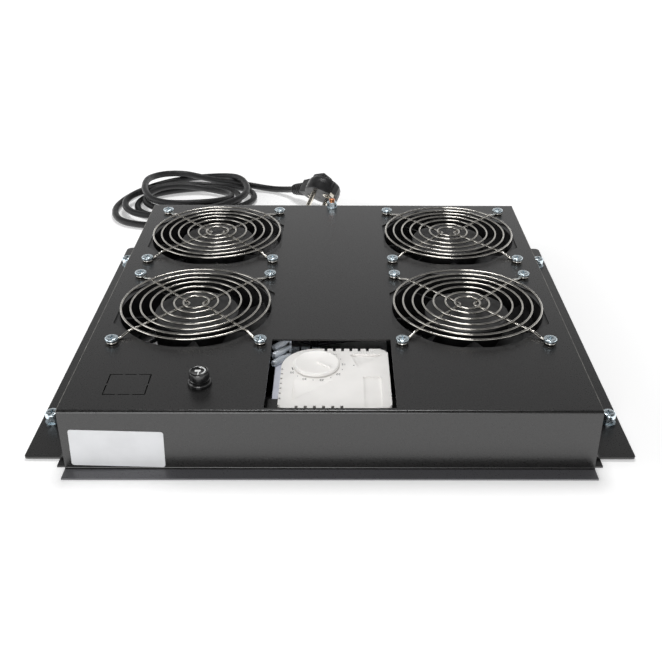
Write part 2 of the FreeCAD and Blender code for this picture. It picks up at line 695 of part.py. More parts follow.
def finger_guard():
    """Seven rings welded on two V-shaped wires that end in eyelets under the screw heads."""
    low = TRAY_HEIGHT + ARM_WIRE / 2
    arm_z = low + ARM_LIFT
    ring_z = arm_z + (ARM_WIRE + RING_WIRE) / 2 - WELD_SINK
    guard = [Part.makeTorus(radius, RING_WIRE / 2, V(0, 0, ring_z)) for radius in RING_RADII]
    screw = FAN_SCREW_PITCH / 2
    eyelet_radius = M4_THREAD / 2 + EYELET_CLEARANCE + ARM_WIRE / 2
    for side in (-1, 1):
        apex = V(side * (INNER_RING - ARM_APEX_INSET), 0, arm_z)
        arms = []
        for end in (1, -1):
            eye = V(side * screw, end * screw, low)
            guard.append(Part.makeTorus(eyelet_radius, ARM_WIRE / 2, eye))
            along = V(apex.x, apex.y, 0) - V(eye.x, eye.y, 0)
            unit = along / along.Length
            knee_radius = max(RING_RADII) + ARM_KNEE_OUTSET
            foot = eye + unit * eyelet_radius
            step = eye + unit * ARM_FOOT_INSET
            knee = V(eye.x, eye.y, arm_z) + unit * (math.hypot(screw, screw) - knee_radius)
            arms.append([foot, step, knee])
        points = arms[0] + [apex] + arms[1][::-1]
        radii = [ARM_KNEE_BEND, ARM_KNEE_BEND, ARM_APEX_BEND, ARM_KNEE_BEND, ARM_KNEE_BEND]
        guard.append(tube(points, radii, ARM_WIRE))
    return guard[0].fuse(guard[1:])


# ---------------------------------------------------------------- thermostat
def thermostat_tray():
    """Folded strip hung under the top plate, with a narrow tongue between the fans."""
    half = WINDOW_WIDTH / 2 + TRAY_PLATE_SIDE_GAP
    y0 = FRONT + SHEET + TRAY_STRIP_FRONT_GAP
    path = [
        V(-half - TRAY_TAB, y0, PLATE_UNDERSIDE),
        V(-half, y0, PLATE_UNDERSIDE),
        V(-half, y0, TRAY_PLATE_TOP),
        V(half, y0, TRAY_PLATE_TOP),
        V(half, y0, PLATE_UNDERSIDE),
        V(half + TRAY_TAB, y0, PLATE_UNDERSIDE),
    ]
    path = path[::-1]
    strip = folded_sheet(path, SHEET, BEND_RADIUS, Y_AXIS, TRAY_STRIP_LENGTH)
    tongue_half = (FAN_COLUMN_PITCH - FAN_SIZE) / 2 - TONGUE_SIDE_GAP
    y1 = y0 + TRAY_STRIP_LENGTH
    tongue = box(-tongue_half, tongue_half, y1 - CUT, y1 + TONGUE_LENGTH,
                 TRAY_PLATE_TOP - SHEET, TRAY_PLATE_TOP)
    return strip.fuse(tongue).removeSplitter()


def thermostat_outline(z0, z1, inset=0.0):
    """The cover's plan: square, with its rear left corner rounded about the dial's centre."""
    half = THERMOSTAT_SIZE / 2 - inset
    dial_corner = half - DIAL_Y
    corner = COVER_CORNER - inset / 2
    plate = rounded_plate(-half, half, -half, half, z0, z1, [corner, corner, corner, dial_corner])
    plate.translate(V(THERMOSTAT_X, THERMOSTAT_Y, 0))
    return plate


def thermostat_cover():
    cover = round_top_edges(thermostat_outline(BASE_TOP, COVER_TOP), COVER_EDGE_ROUND)
    cover = cover.cut(thermostat_outline(BASE_TOP - CUT, COVER_TOP - COVER_WALL, COVER_WALL))
    cover = cover.cut(disc(SPINDLE + 2 * SPINDLE_ROOM, BASE_TOP, COVER_TOP + CUT, DIAL_PLACE))
    half = THERMOSTAT_SIZE / 2
    vent_floor = COVER_TOP - COVER_HEIGHT / 2
    cutters = []
    for side, start in ((-1, FRONT_VENT_START), (1, REAR_VENT_START)):
        y = THERMOSTAT_Y + side * half
        for index in range(VENT_COUNT):
            x = THERMOSTAT_X + start + VENT_PITCH * index
            cutters.append(box(x, x + VENT_WIDTH, y - VENT_DEPTH, y + VENT_DEPTH, vent_floor, COVER_TOP + CUT))
    left = THERMOSTAT_X - half
    for index in range(SIDE_VENT_COUNT):
        y = THERMOSTAT_Y + SIDE_VENT_START + VENT_PITCH * index
        cutters.append(box(left - CUT, left + SIDE_VENT_DEPTH, y, y + VENT_WIDTH,
                           vent_floor, COVER_TOP - COVER_WALL))
    return cover.cut(cutters)


def thermostat_base():
    """Deep tray under the cover that holds the switch; it reaches out past the cover on the left."""
    half = THERMOSTAT_SIZE / 2
    x0 = THERMOSTAT_X - half - BASE_OVERHANG
    x1 = THERMOSTAT_X + half
    y0 = THERMOSTAT_Y - half
    y1 = THERMOSTAT_Y + half
    base = rounded_plate(x0, x1, y0, y1, TRAY_PLATE_TOP, BASE_TOP, [COVER_CORNER] * 4)
    inner = box(x0 + BASE_OVERHANG + BASE_WALL, x1 - BASE_WALL, y0 + BASE_WALL, y1 - BASE_WALL,
                TRAY_PLATE_TOP + BASE_WALL, BASE_TOP + CUT)
    return base.cut(inner).fuse(corner_web())


def corner_web():
    """Closes the base where the cover's rear left corner is rounded away."""
    half = THERMOSTAT_SIZE / 2
    x0 = THERMOSTAT_X - half
    y1 = THERMOSTAT_Y + half
    reach = half - DIAL_Y
    block = box(x0, x0 + reach, y1 - reach, y1 - BASE_WALL / 2, BASE_TOP - BASE_WALL, BASE_TOP)
    return block.cut(disc(2 * (reach - 2 * BASE_WALL), BASE_TOP - 2 * BASE_WALL, BASE_TOP + CUT, DIAL_PLACE))


def thermostat_switch():
    """Snap switch body standing in the base under the dial."""
    floor = TRAY_PLATE_TOP + BASE_WALL
    body = box(-SWITCH_LENGTH / 2, SWITCH_LENGTH / 2, -SWITCH_WIDTH / 2, SWITCH_WIDTH / 2,
               floor, floor + SWITCH_HEIGHT)
    bush = disc(SPINDLE + 2 * SWITCH_BUSH_WALL, floor + SWITCH_HEIGHT, BASE_TOP + COVER_HEIGHT / 4)
    body = body.fuse(bush).cut(disc(SPINDLE + 2 * SPINDLE_FIT, floor + SWITCH_HEIGHT / 2, COVER_TOP))
    body.translate(DIAL_PLACE)
    return body.removeSplitter()


def thermostat_spindle():
    floor = TRAY_PLATE_TOP + BASE_WALL
    return disc(SPINDLE, floor + SWITCH_HEIGHT / 2, COVER_TOP + DIAL_LIFT, DIAL_PLACE)


def thermostat_dial():
    base = COVER_TOP + DIAL_LIFT
    top = base + DIAL_HEIGHT
    dial = round_top_edges(disc(DIAL, base, top), DIAL_EDGE_ROUND)
    pointer = box(0, DIAL_POINTER_LENGTH, -DIAL_POINTER_WIDTH / 2, DIAL_POINTER_WIDTH / 2,
                  top - CUT, top + DIAL_POINTER_HEIGHT)
    pointer.rotate(ORIGIN, Z_AXIS, DIAL_POINTER_ANGLE)
    dial = dial.fuse(pointer)
    dial.translate(DIAL_PLACE)
    return dial.removeSplitter()


def terminal_block():
    """Screw terminal strip behind the thermostat, on the tongue of its tray."""
    length = TERMINAL_WAYS * TERMINAL_PITCH
    y0 = THERMOSTAT_Y + THERMOSTAT_SIZE / 2 + TERMINAL_GAP
    y1 = y0 + TERMINAL_DEPTH
    x0 = TERMINAL_X - length / 2 + TERMINAL_PITCH / 2
    foot_top = TRAY_PLATE_TOP + TERMINAL_FOOT
    tower_top = foot_top + TERMINAL_TOWER
    block = box(x0, x0 + length, y0, y1, TRAY_PLATE_TOP, foot_top)
    middle_y = (y0 + y1) / 2
    towers = []
    holes = []
    for index in range(TERMINAL_WAYS):
        x = x0 + TERMINAL_PITCH * (index + 0.5)
        towers.append(box(x - TERMINAL_TOWER_WIDTH / 2, x + TERMINAL_TOWER_WIDTH / 2,
                          y0 + TERMINAL_TOWER_INSET, y1 - TERMINAL_TOWER_INSET, foot_top, tower_top))
        for y in (middle_y - TERMINAL_DEPTH / 4, middle_y + TERMINAL_DEPTH / 4):
            holes.append(disc(TERMINAL_SCREW_HOLE, tower_top - TERMINAL_SCREW_DEPTH, tower_top + CUT,
                              V(x, y, 0)))
        holes.append(Part.makeCylinder(TERMINAL_WIRE_HOLE / 2, TERMINAL_DEPTH + 2 * CUT,
                                       V(x, y0 - CUT, foot_top + TERMINAL_WIRE_HOLE), Y_AXIS))
    return block.fuse(towers).cut(holes).removeSplitter()


# ---------------------------------------------------------------- fuse holder
def fuse_holder_body():
    bottom = TRAY_HEIGHT - FUSE_BARREL_LENGTH
    flange_top = TRAY_HEIGHT + FUSE_FLANGE_HEIGHT
    body = disc(FUSE_FLANGE, TRAY_HEIGHT, flange_top).fuse(disc(FUSE_BARREL, bottom, TRAY_HEIGHT))
    body = body.cut(disc(FUSE_BORE, bottom + FUSE_FLOOR, flange_top + CUT))
    for side in (-1, 1):
        x = side * FUSE_TAB_OFFSET
        body = body.fuse(box(x - FUSE_TAB_THICKNESS / 2, x + FUSE_TAB_THICKNESS / 2,
                             -FUSE_TAB_WIDTH / 2, FUSE_TAB_WIDTH / 2,
                             bottom - FUSE_TAB_LENGTH, bottom + FUSE_FLOOR / 2))
    body.translate(FUSE_PLACE)
    return body.removeSplitter()


def fuse_holder_nut():
    nut = hex_nut(FUSE_NUT_ACROSS_FLATS, FUSE_NUT_HEIGHT, FUSE_BARREL, 0)
    nut.rotate(ORIGIN, X_AXIS, 180)
    nut.translate(FUSE_PLACE + V(0, 0, PLATE_UNDERSIDE))
    return nut


def fuse_cap():
    base = TRAY_HEIGHT + FUSE_FLANGE_HEIGHT
    top = base + FUSE_CAP_HEIGHT
    cap = round_top_edges(disc(FUSE_CAP, base, top), FUSE_CAP_ROUND)
    cap = cap.fuse(disc(FUSE_BORE - 2 * FUSE_STEM_FIT, base - FUSE_STEM_LENGTH, base))
    cap = cap.cut(box(-FUSE_CAP_SLOT / 2, FUSE_CAP_SLOT / 2, -FUSE_CAP_SLOT_SPAN / 2, FUSE_CAP_SLOT_SPAN / 2,
                      top - FUSE_CAP_SLOT_DEPTH, top + CUT))
    cap.translate(FUSE_PLACE)
    return cap.removeSplitter()


def fuse_cartridge():
    top = TRAY_HEIGHT + FUSE_FLANGE_HEIGHT - FUSE_STEM_LENGTH
    return disc(CARTRIDGE, top - CARTRIDGE_LENGTH, top, FUSE_PLACE)


# ---------------------------------------------------------------- earth stud and label
def earth_stud():
    nut_top = TRAY_HEIGHT + EARTH_WASHER_HEIGHT + M5_NUT_HEIGHT
    stud = disc(M5_THREAD, PLATE_UNDERSIDE, nut_top + EARTH_FREE_END)
    stud = stud.fuse(disc(EARTH_HEAD, PLATE_UNDERSIDE - EARTH_HEAD_HEIGHT, PLATE_UNDERSIDE))
    stud = round_top_edges(stud, EARTH_TIP_ROUND)
    stud.translate(EARTH_PLACE)
    return stud


def earth_washer():
    washer = disc(EARTH_WASHER, TRAY_HEIGHT, TRAY_HEIGHT + EARTH_WASHER_HEIGHT)
    washer = washer.cut(disc(M5_THREAD + 2 * HOLE_CLEARANCE, TRAY_HEIGHT - CUT,
                             TRAY_HEIGHT + EARTH_WASHER_HEIGHT + CUT))
    washer.translate(EARTH_PLACE)
    return washer


def earth_nut():
    nut = hex_nut(M5_ACROSS_FLATS, M5_NUT_HEIGHT, M5_THREAD, TRAY_HEIGHT + EARTH_WASHER_HEIGHT)
    nut.translate(EARTH_PLACE)
    return nut


def rating_label():
    label = rounded_plate(-LABEL_WIDTH / 2, LABEL_WIDTH / 2, -LABEL_HEIGHT / 2, LABEL_HEIGHT / 2,
                          0, LABEL_THICKNESS, [LABEL_CORNER] * 4)
    label.rotate(ORIGIN, X_AXIS, 90)
    label.rotate(ORIGIN, Y_AXIS, LABEL_TILT)
    label.translate(V(LABEL_X, FRONT, LABEL_Z))
    return label


# ---------------------------------------------------------------- mains cord
def along_y(shape, y, x=GLAND_X, z=GLAND_Z):
    """Turns a shape drawn up +Z so that it points along +Y, standing on the plane at y."""
    shape.rotate(ORIGIN, X_AXIS, -90)
    shape.translate(V(x, y, z))
    return shape


def cord_gland():
    flange = disc(GLAND_FLANGE, 0, GLAND_FLANGE_HEIGHT)
    nose = Part.makeCone(GLAND_NOSE_ROOT / 2, GLAND_NOSE_TIP / 2, GLAND_NOSE_LENGTH,
                         V(0, 0, GLAND_FLANGE_HEIGHT))
    thread = disc(GLAND_THREAD, -GLAND_INNER_LENGTH, 0)
    return along_y(flange.fuse([nose, thread]).removeSplitter(), HALF_DEPTH)


def gland_nut():
    nut = hex_nut(GLAND_NUT_ACROSS_FLATS, GLAND_NUT_HEIGHT, GLAND_THREAD, 0)
    return along_y(nut, HALF_DEPTH - SHEET - GLAND_NUT_HEIGHT)


def free_radii(points):
    """The largest arc radii that the runs allow: 0.45 of the shorter run at each inner point."""
    radii = []
    for before, corner, after in zip(points, points[1:], points[2:]):
        shorter = min((corner - before).Length, (after - corner).Length)
        turn = (corner - before).getAngle(after - corner)
        radii.append(0.45 * shorter / math.tan(turn / 2))
    return radii


def free_cord(name, points):
    radii = free_radii(points)
    cord = tube(points, radii, CORD)
    length = sum(edge.Length for edge in rounded_edges(points, radii))
    share = cord.Volume / (math.pi * CORD ** 2 / 4 * length)
    print("%s: length %.1f, volume over section x length %.4f, radii %s"
          % (name, length, share, " ".join("%.0f" % radius for radius in radii)))
    return cord


def power_cord():
    """From the gland down to the floor behind the tray, and round into the coil."""
    return free_cord("power_cord", [CORD_EXIT] + [CORD_EXIT + step for step in CORD_DROP])


def cord_coil():
    """The outer form of five loose turns lying on the floor."""
    coil = disc(COIL_OUTER, 0, COIL_HEIGHT)
    coil = coil.cut(disc(COIL_HOLE, -CUT, COIL_HEIGHT + CUT, COIL_HOLE_SHIFT))
    coil = coil.makeFillet(COIL_ROUND, [edge for edge in coil.Edges if edge.isClosed()])
    coil.translate(COIL_PLACE)
    return coil


def placed_plug(shape):
    """Turns a plug piece, drawn with its pins along -Z and its cord along -X, to where the plug lies."""
    shape.rotate(ORIGIN, X_AXIS, PLUG_TILT)
    shape.rotate(ORIGIN, Y_AXIS, PLUG_PITCH)
    shape.rotate(ORIGIN, Z_AXIS, PLUG_YAW)
    return shape


def plug_pins():
    pins = []
    for side in (-1, 1):
        pin = disc(PLUG_PIN, -PLUG_PIN_LENGTH, 0, V(0, side * PLUG_PIN_SPACING / 2, 0))
        tip = min(pin.Faces, key=lambda face: face.CenterOfMass.z)
        pins.append(placed_plug(pin.makeFillet(PLUG_PIN_ROUND, tip.Edges)))
    return pins


def plug_body():
    head = round_top_edges(disc(PLUG_FACE, 0, PLUG_FACE_HEIGHT), PLUG_HEAD_ROUND)
    neck = box(-PLUG_NECK_LENGTH, 0, -PLUG_NECK_WIDTH / 2, PLUG_NECK_WIDTH / 2,
               PLUG_CORD_HEIGHT - PLUG_NECK_HEIGHT / 2, PLUG_CORD_HEIGHT + PLUG_NECK_HEIGHT / 2)
    grip = box(-PLUG_GRIP_LENGTH / 2, PLUG_GRIP_LENGTH / 2, -PLUG_GRIP_WIDTH / 2, PLUG_GRIP_WIDTH / 2,
               PLUG_CORD_HEIGHT, PLUG_FACE_HEIGHT + PLUG_GRIP_HEIGHT)
    grip.translate(V(-PLUG_GRIP_SETBACK, 0, 0))
    grip = round_top_edges(grip, PLUG_GRIP_ROUND)
    body = head.fuse([neck, grip])
    return placed_plug(body.cut([earth_socket_room(), earth_clip(-1), earth_clip(1)]).removeSplitter())


def earth_socket_room():
    return disc(PLUG_EARTH_RIM, 0, PLUG_SOCKET_DEPTH, V(PLUG_EARTH_HOLE_X, 0, 0))


def earth_clip(side):
    """The spring strip let into the plug's rim, on the cord's side (-1) or the far side (1)."""
    edge = PLUG_FACE / 2
    length = PLUG_CLIP_LENGTH if side > 0 else PLUG_CORD_HEIGHT - PLUG_NECK_HEIGHT / 2
    clip = box(edge - PLUG_CLIP_THICKNESS, edge, -PLUG_CLIP_WIDTH / 2, PLUG_CLIP_WIDTH / 2, 0, length)
    return clip if side > 0 else mirrored(clip)


def plug_earth_contacts():
    """Spring clips on both sides of the face, and the socket for an earth pin."""
    hole = disc(PLUG_EARTH_HOLE, -CUT, PLUG_EARTH_DEPTH, V(PLUG_EARTH_HOLE_X, 0, 0))
    contacts = [earth_clip(-1), earth_clip(1), earth_socket_room().cut(hole)]
    return [placed_plug(contact) for contact in contacts]


def plug_strain_relief():
    """Ribbed taper on the cord, drawn along -X from the plug's neck."""
    relief = Part.makeCone(RELIEF_ROOT / 2, RELIEF_TIP / 2, RELIEF_LENGTH,
                           V(-PLUG_NECK_LENGTH, 0, PLUG_CORD_HEIGHT), V(-1, 0, 0))
    pitch = (RELIEF_LENGTH - RELIEF_PLAIN_END) / RELIEF_RIBS
    core = (RELIEF_TIP - RELIEF_RIB_DEPTH) / 2
    for index in range(RELIEF_RIBS):
        x = -PLUG_NECK_LENGTH - RELIEF_PLAIN_END - pitch * index
        ring = Part.makeCylinder(RELIEF_ROOT, RELIEF_RIB_GAP, V(x, 0, PLUG_CORD_HEIGHT), V(-1, 0, 0))
        ring = ring.cut(Part.makeCylinder(core, RELIEF_RIB_GAP, V(x, 0, PLUG_CORD_HEIGHT), V(-1, 0, 0)))
        relief = relief.cut(ring)
    return placed_plug(relief)


def plug_shift():
    """Sets the plug on the floor by its lowest point, at its place."""
    lowest = min(shape.BoundBox.ZMin for shape in plug_pins() + [plug_body(), plug_strain_relief()])
    return V(PLUG_X, PLUG_Y, -lowest)


def cord_entry():
    """Where the cord meets the plug's strain relief, and the way it leaves."""
    marker = Part.makeLine(V(-PLUG_NECK_LENGTH - RELIEF_LENGTH, 0, PLUG_CORD_HEIGHT),
                           V(-PLUG_NECK_LENGTH - RELIEF_LENGTH - 1, 0, PLUG_CORD_HEIGHT))
    marker = placed_plug(marker)
    start = marker.Vertexes[0].Point + plug_shift()
    return start, (marker.Vertexes[1].Point + plug_shift() - start).normalize()


def plug_lead():
    """From the coil to the plug."""
    entry, away = cord_entry()
    print("plug cord entry", entry, "direction", away)
    points = [COIL_PLACE + step for step in LEAD_FROM_COIL] + [entry + away * PLUG_STRAIGHT, entry]
    return free_cord("plug_lead", points)


# ---------------------------------------------------------------- wires inside
def trunk_end():
    """Where the trunk meets the rear of the terminal block."""
    rear = THERMOSTAT_Y + THERMOSTAT_SIZE / 2 + TERMINAL_GAP + TERMINAL_DEPTH
    return V(TERMINAL_X + TRUNK_OFFSET, rear, TRAY_PLATE_TOP + TERMINAL_FOOT + TERMINAL_WIRE_HOLE)


def wiring_loom():
    """Trunk from the gland to the terminal block, with branches to the fans, the fuse and the earth stud."""
    end = trunk_end()
    fans_rear = FAN_PLACES["rear_left"].y + FAN_SIZE / 2
    trunk = tube([
        V(GLAND_X, HALF_DEPTH - GLAND_INNER_LENGTH, GLAND_Z),
        V(GLAND_X, fans_rear - TRUNK_CORNERS[0], GLAND_Z),
        V(end.x, fans_rear - TRUNK_CORNERS[1], end.z),
        end,
    ], TRUNK_BENDS, TRUNK_WIRE)
    return trunk.fuse(fan_leads() + fuse_leads() + [earth_lead()])


def fan_leads():
    end = trunk_end()
    leads = []
    for place in FAN_PLACES.values():
        inward = -1 if place.x > 0 else 1
        side = place.x + inward * FAN_SIZE / 2
        leads.append(tube([
            V(side, place.y, FAN_LEAD_Z),
            V(side + inward * FAN_LEAD_STRAIGHT, place.y, FAN_LEAD_Z),
            V(end.x, place.y - FAN_LEAD_SETBACK, end.z),
        ], [BRANCH_BEND], BRANCH_WIRE))
    return leads


def fuse_leads():
    """Two wires, one above the other, round the front left fan to the tabs of the fuse holder."""
    end = trunk_end()
    fan_corner = V(FAN_PLACES["front_left"].x + FAN_SIZE / 2, end.y, end.z)
    tab_z = TRAY_HEIGHT - FUSE_BARREL_LENGTH - FUSE_TAB_LENGTH / 2
    leads = []
    for side in (-1, 1):
        lift = V(0, 0, side * FUSE_LEAD_SPREAD)
        corners = [fan_corner + corner + lift for corner in FUSE_LEAD_CORNERS]
        tab = FUSE_PLACE + V(side * FUSE_TAB_OFFSET, FUSE_TAB_WIDTH / 2 + WIRE_END_GAP, tab_z)
        leads.append(tube([end + V(0, FUSE_LEAD_START, 0)] + corners + [tab],
                          [BRANCH_BEND] * len(corners), BRANCH_WIRE))
    return leads


def earth_lead():
    foot = EARTH_PLACE + V(0, 0, PLATE_UNDERSIDE - EARTH_HEAD_HEIGHT)
    start = V(GLAND_X, foot.y - EARTH_LEAD_SETBACK, GLAND_Z)
    return tube([start, start + EARTH_LEAD_CORNER, foot - V(0, 0, EARTH_LEAD_DROP), foot],
                [BRANCH_BEND, BRANCH_BEND], BRANCH_WIRE)


def thermostat_wires():
    """Short wires from the terminal block through the rear wall of the thermostat's base."""
    block_front = THERMOSTAT_Y + THERMOSTAT_SIZE / 2 + TERMINAL_GAP
    z = trunk_end().z
    first_x = TERMINAL_X - (TERMINAL_WAYS / 2 - 1) * TERMINAL_PITCH
    wires = []
    for index in range(TERMINAL_WAYS - 1):
        start = V(first_x + index * TERMINAL_PITCH, block_front - TERMINAL_GAP, z)
        wires.append(Part.makeCylinder(BRANCH_WIRE / 2, TERMINAL_GAP, start, Y_AXIS))
    return wires


def main():
    os.makedirs("parts", exist_ok=True)
    save("tray_chassis", tray_chassis())
    panel = side_panel()
    save("right_side_panel", panel)
    save("left_side_panel", mirrored(panel))
    bracket = side_bracket()
    save("right_bracket", bracket)
    save("left_bracket", mirrored(bracket))
    weld_nut = hex_nut(M5_ACROSS_FLATS, M5_NUT_HEIGHT, M5_THREAD, BRACKET_TOP,
                       M5_NUT_FLANGE, M5_NUT_FLANGE_HEIGHT)
    save("bracket_weld_nuts", copies(weld_nut, BRACKET_SCREW_PLACES))
    bracket_screw = pan_head_screw(M5_THREAD, M5_HEAD, M5_HEAD_HEIGHT, M5_NUT_HEIGHT + BRACKET_SHEET,
                                   BRACKET_TOP + M5_NUT_HEIGHT)
    save("bracket_screws", copies(bracket_screw, BRACKET_SCREW_PLACES))

    fan_pieces = {
        "fan_frame": [fan_frame()],
        "fan_stator": [fan_stator()],
        "fan_shaft": [fan_shaft()],
        "fan_bearings": fan_bearings(),
        "fan_rotor": [fan_rotor()],
        "finger_guard": [finger_guard()],
    }
    for corner, place in FAN_PLACES.items():
        for piece, solids in fan_pieces.items():
            save(corner + "_" + piece, moved(solids, place))
    under_head = TRAY_HEIGHT + ARM_WIRE
    nut_base = PLATE_UNDERSIDE - FAN_FLANGE
    screw_length = under_head - nut_base + M4_NUT_HEIGHT + M4_POINT
    guard_screw = pan_head_screw(M4_THREAD, M4_HEAD, M4_HEAD_HEIGHT, screw_length, under_head)
    save("guard_screws", copies(guard_screw, GUARD_SCREW_PLACES))
    guard_nut = hex_nut(M4_ACROSS_FLATS, M4_NUT_HEIGHT, M4_THREAD, 0)
    guard_nut.rotate(ORIGIN, X_AXIS, 180)
    guard_nut.translate(V(0, 0, nut_base))
    save("guard_nuts", copies(guard_nut, GUARD_SCREW_PLACES))

    save("thermostat_tray", thermostat_tray())
    save("thermostat_base", thermostat_base())
    save("thermostat_cover", thermostat_cover())
    save("thermostat_switch", thermostat_switch())
    save("thermostat_spindle", thermostat_spindle())
    save("thermostat_dial", thermostat_dial())
    save("terminal_block", terminal_block())
    save("fuse_holder_body", fuse_holder_body())
    save("fuse_holder_nut", fuse_holder_nut())
    save("fuse_cap", fuse_cap())
    save("fuse_cartridge", fuse_cartridge())
    save("earth_stud", earth_stud())
    save("earth_washer", earth_washer())
    save("earth_nut", earth_nut())
    save("rating_label", rating_label())
    save("wiring_loom", [wiring_loom()] + thermostat_wires())

    save("cord_gland", cord_gland())
    save("gland_nut", gland_nut())
    save("power_cord", power_cord())
    save("cord_coil", cord_coil())
    save("plug_lead", plug_lead())
    shift = plug_shift()
    save("plug_body", moved([plug_body()], shift))
    save("plug_strain_relief", moved([plug_strain_relief()], shift))
    save("plug_pins", moved(plug_pins(), shift))
    save("plug_earth_contacts", moved(plug_earth_contacts(), shift))


main()
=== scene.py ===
"""Rack fan tray: finishes, fine pieces, mains cord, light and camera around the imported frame."""
import bpy
import bmesh
import json
import math
from mathutils import Matrix, Vector


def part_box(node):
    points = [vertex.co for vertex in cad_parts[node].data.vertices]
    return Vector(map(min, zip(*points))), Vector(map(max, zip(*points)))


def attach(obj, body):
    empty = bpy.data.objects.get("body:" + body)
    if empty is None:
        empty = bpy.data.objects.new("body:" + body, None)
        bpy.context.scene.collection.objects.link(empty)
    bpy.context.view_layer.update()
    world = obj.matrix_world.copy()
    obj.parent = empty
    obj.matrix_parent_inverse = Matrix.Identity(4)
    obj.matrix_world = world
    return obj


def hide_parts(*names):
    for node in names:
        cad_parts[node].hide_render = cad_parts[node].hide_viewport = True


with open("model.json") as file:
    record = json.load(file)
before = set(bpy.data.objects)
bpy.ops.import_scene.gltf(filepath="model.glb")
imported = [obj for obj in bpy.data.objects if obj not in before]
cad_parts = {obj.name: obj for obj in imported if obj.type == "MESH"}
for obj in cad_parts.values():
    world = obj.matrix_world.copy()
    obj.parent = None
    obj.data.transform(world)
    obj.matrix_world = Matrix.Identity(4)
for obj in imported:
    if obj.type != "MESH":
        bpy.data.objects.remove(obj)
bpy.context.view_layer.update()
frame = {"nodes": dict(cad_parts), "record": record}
nodes = frame["nodes"]
MM = 0.001
PER_METRE = 1000
SMOOTH_ANGLE = 35


def mm(x, y, z):
    """A point in millimetres as a vector in metres."""
    return Vector((x, y, z)) * MM


def corners_of(node):
    """A node's lowest and highest corner at rest, in millimetres."""
    return [Vector(corner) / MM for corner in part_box(node)]


def top_of(node):
    """The height of a node's top at rest, in millimetres."""
    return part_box(node)[1][2] / MM


def middle_of(node):
    """The middle of a node's box at rest, in metres."""
    low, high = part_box(node)
    return (Vector(low) + Vector(high)) / 2


# ---------------------------------------------------------------- camera
def set_camera():
    """A 48.4 mm lens, 0.7 m in front of the tray's middle and looking 28.3 degrees down."""
    place = mm(4.7, -632.4, 370.8)
    pitch = math.radians(28.31)
    yaw = math.radians(0.40)
    roll = math.radians(0.31)
    ahead = Vector((math.sin(yaw) * math.cos(pitch), math.cos(yaw) * math.cos(pitch),
                    -math.sin(pitch)))
    level = Vector((math.cos(yaw), -math.sin(yaw), 0))
    upright = level.cross(ahead)
    across = level * math.cos(roll) + upright * math.sin(roll)
    above = upright * math.cos(roll) - level * math.sin(roll)
    turn = Matrix((across, above, -ahead)).transposed().to_4x4()

    data = bpy.data.cameras.new("camera")
    data.sensor_width = 36
    data.lens = 48.43
    data.shift_x = -0.0189
    data.shift_y = -0.0414
    camera = bpy.data.objects.new("camera", data)
    camera.matrix_world = Matrix.Translation(place) @ turn
    bpy.context.scene.collection.objects.link(camera)
    bpy.context.scene.camera = camera


# ---------------------------------------------------------------- finishes
def linear(hex_colour):
    """An sRGB hex colour as the linear colour that shaders take."""
    channels = [int(hex_colour[start:start + 2], 16) / 255 for start in (1, 3, 5)]
    lit = [c / 12.92 if c <= 0.04045 else ((c + 0.055) / 1.055) ** 2.4 for c in channels]
    return lit + [1.0]


def add_node(tree, kind, properties=None, inputs=None):
    """Adds a node; an input is a plain value, or the output socket that feeds it."""
    node = tree.nodes.new(kind)
    for name, value in (properties or {}).items():
        setattr(node, name, value)
    for name, value in (inputs or {}).items():
        if isinstance(value, bpy.types.NodeSocket):
            tree.links.new(value, node.inputs[name])
        else:
            node.inputs[name].default_value = value
    return node


def new_finish(name, colours, tint_mm, roughness, grain_mm, relief_mm, settings=None):
    """A surface whose colour and roughness drift over tint_mm, with a grain grain_mm wide that
    stands relief_mm high."""
    material = bpy.data.materials.new(name)
    material.use_nodes = True
    tree = material.node_tree
    shader = tree.nodes["Principled BSDF"]
    place = add_node(tree, "ShaderNodeTexCoord")
    drift = add_node(tree, "ShaderNodeTexNoise", {}, {
        "Vector": place.outputs["Object"], "Scale": PER_METRE / tint_mm, "Detail": 4.0,
    })
    # Noise seldom leaves the middle of its range, so that is stretched over the whole drift
    share = add_node(tree, "ShaderNodeMapRange", {}, {
        "Value": drift.outputs["Fac"], "From Min": 0.35, "From Max": 0.65,
    })
    tint = add_node(tree, "ShaderNodeMix", {"data_type": "RGBA"}, {
        0: share.outputs["Result"], 6: linear(colours[0]), 7: linear(colours[1]),
    })
    polish = add_node(tree, "ShaderNodeMapRange", {}, {
        "Value": share.outputs["Result"], "To Min": roughness[0], "To Max": roughness[1],
    })
    grain = add_node(tree, "ShaderNodeTexNoise", {}, {
        "Vector": place.outputs["Object"], "Scale": PER_METRE / grain_mm, "Detail": 1.0,
    })
    bump = add_node(tree, "ShaderNodeBump", {}, {
        "Height": grain.outputs["Fac"], "Strength": 1.0, "Distance": relief_mm * MM,
    })
    tree.links.new(tint.outputs[2], shader.inputs["Base Color"])
    tree.links.new(polish.outputs["Result"], shader.inputs["Roughness"])
    tree.links.new(bump.outputs["Normal"], shader.inputs["Normal"])
    for socket, value in (settings or {}).items():
        shader.inputs[socket].default_value = value
    material.diffuse_color = linear(colours[0])
    return material


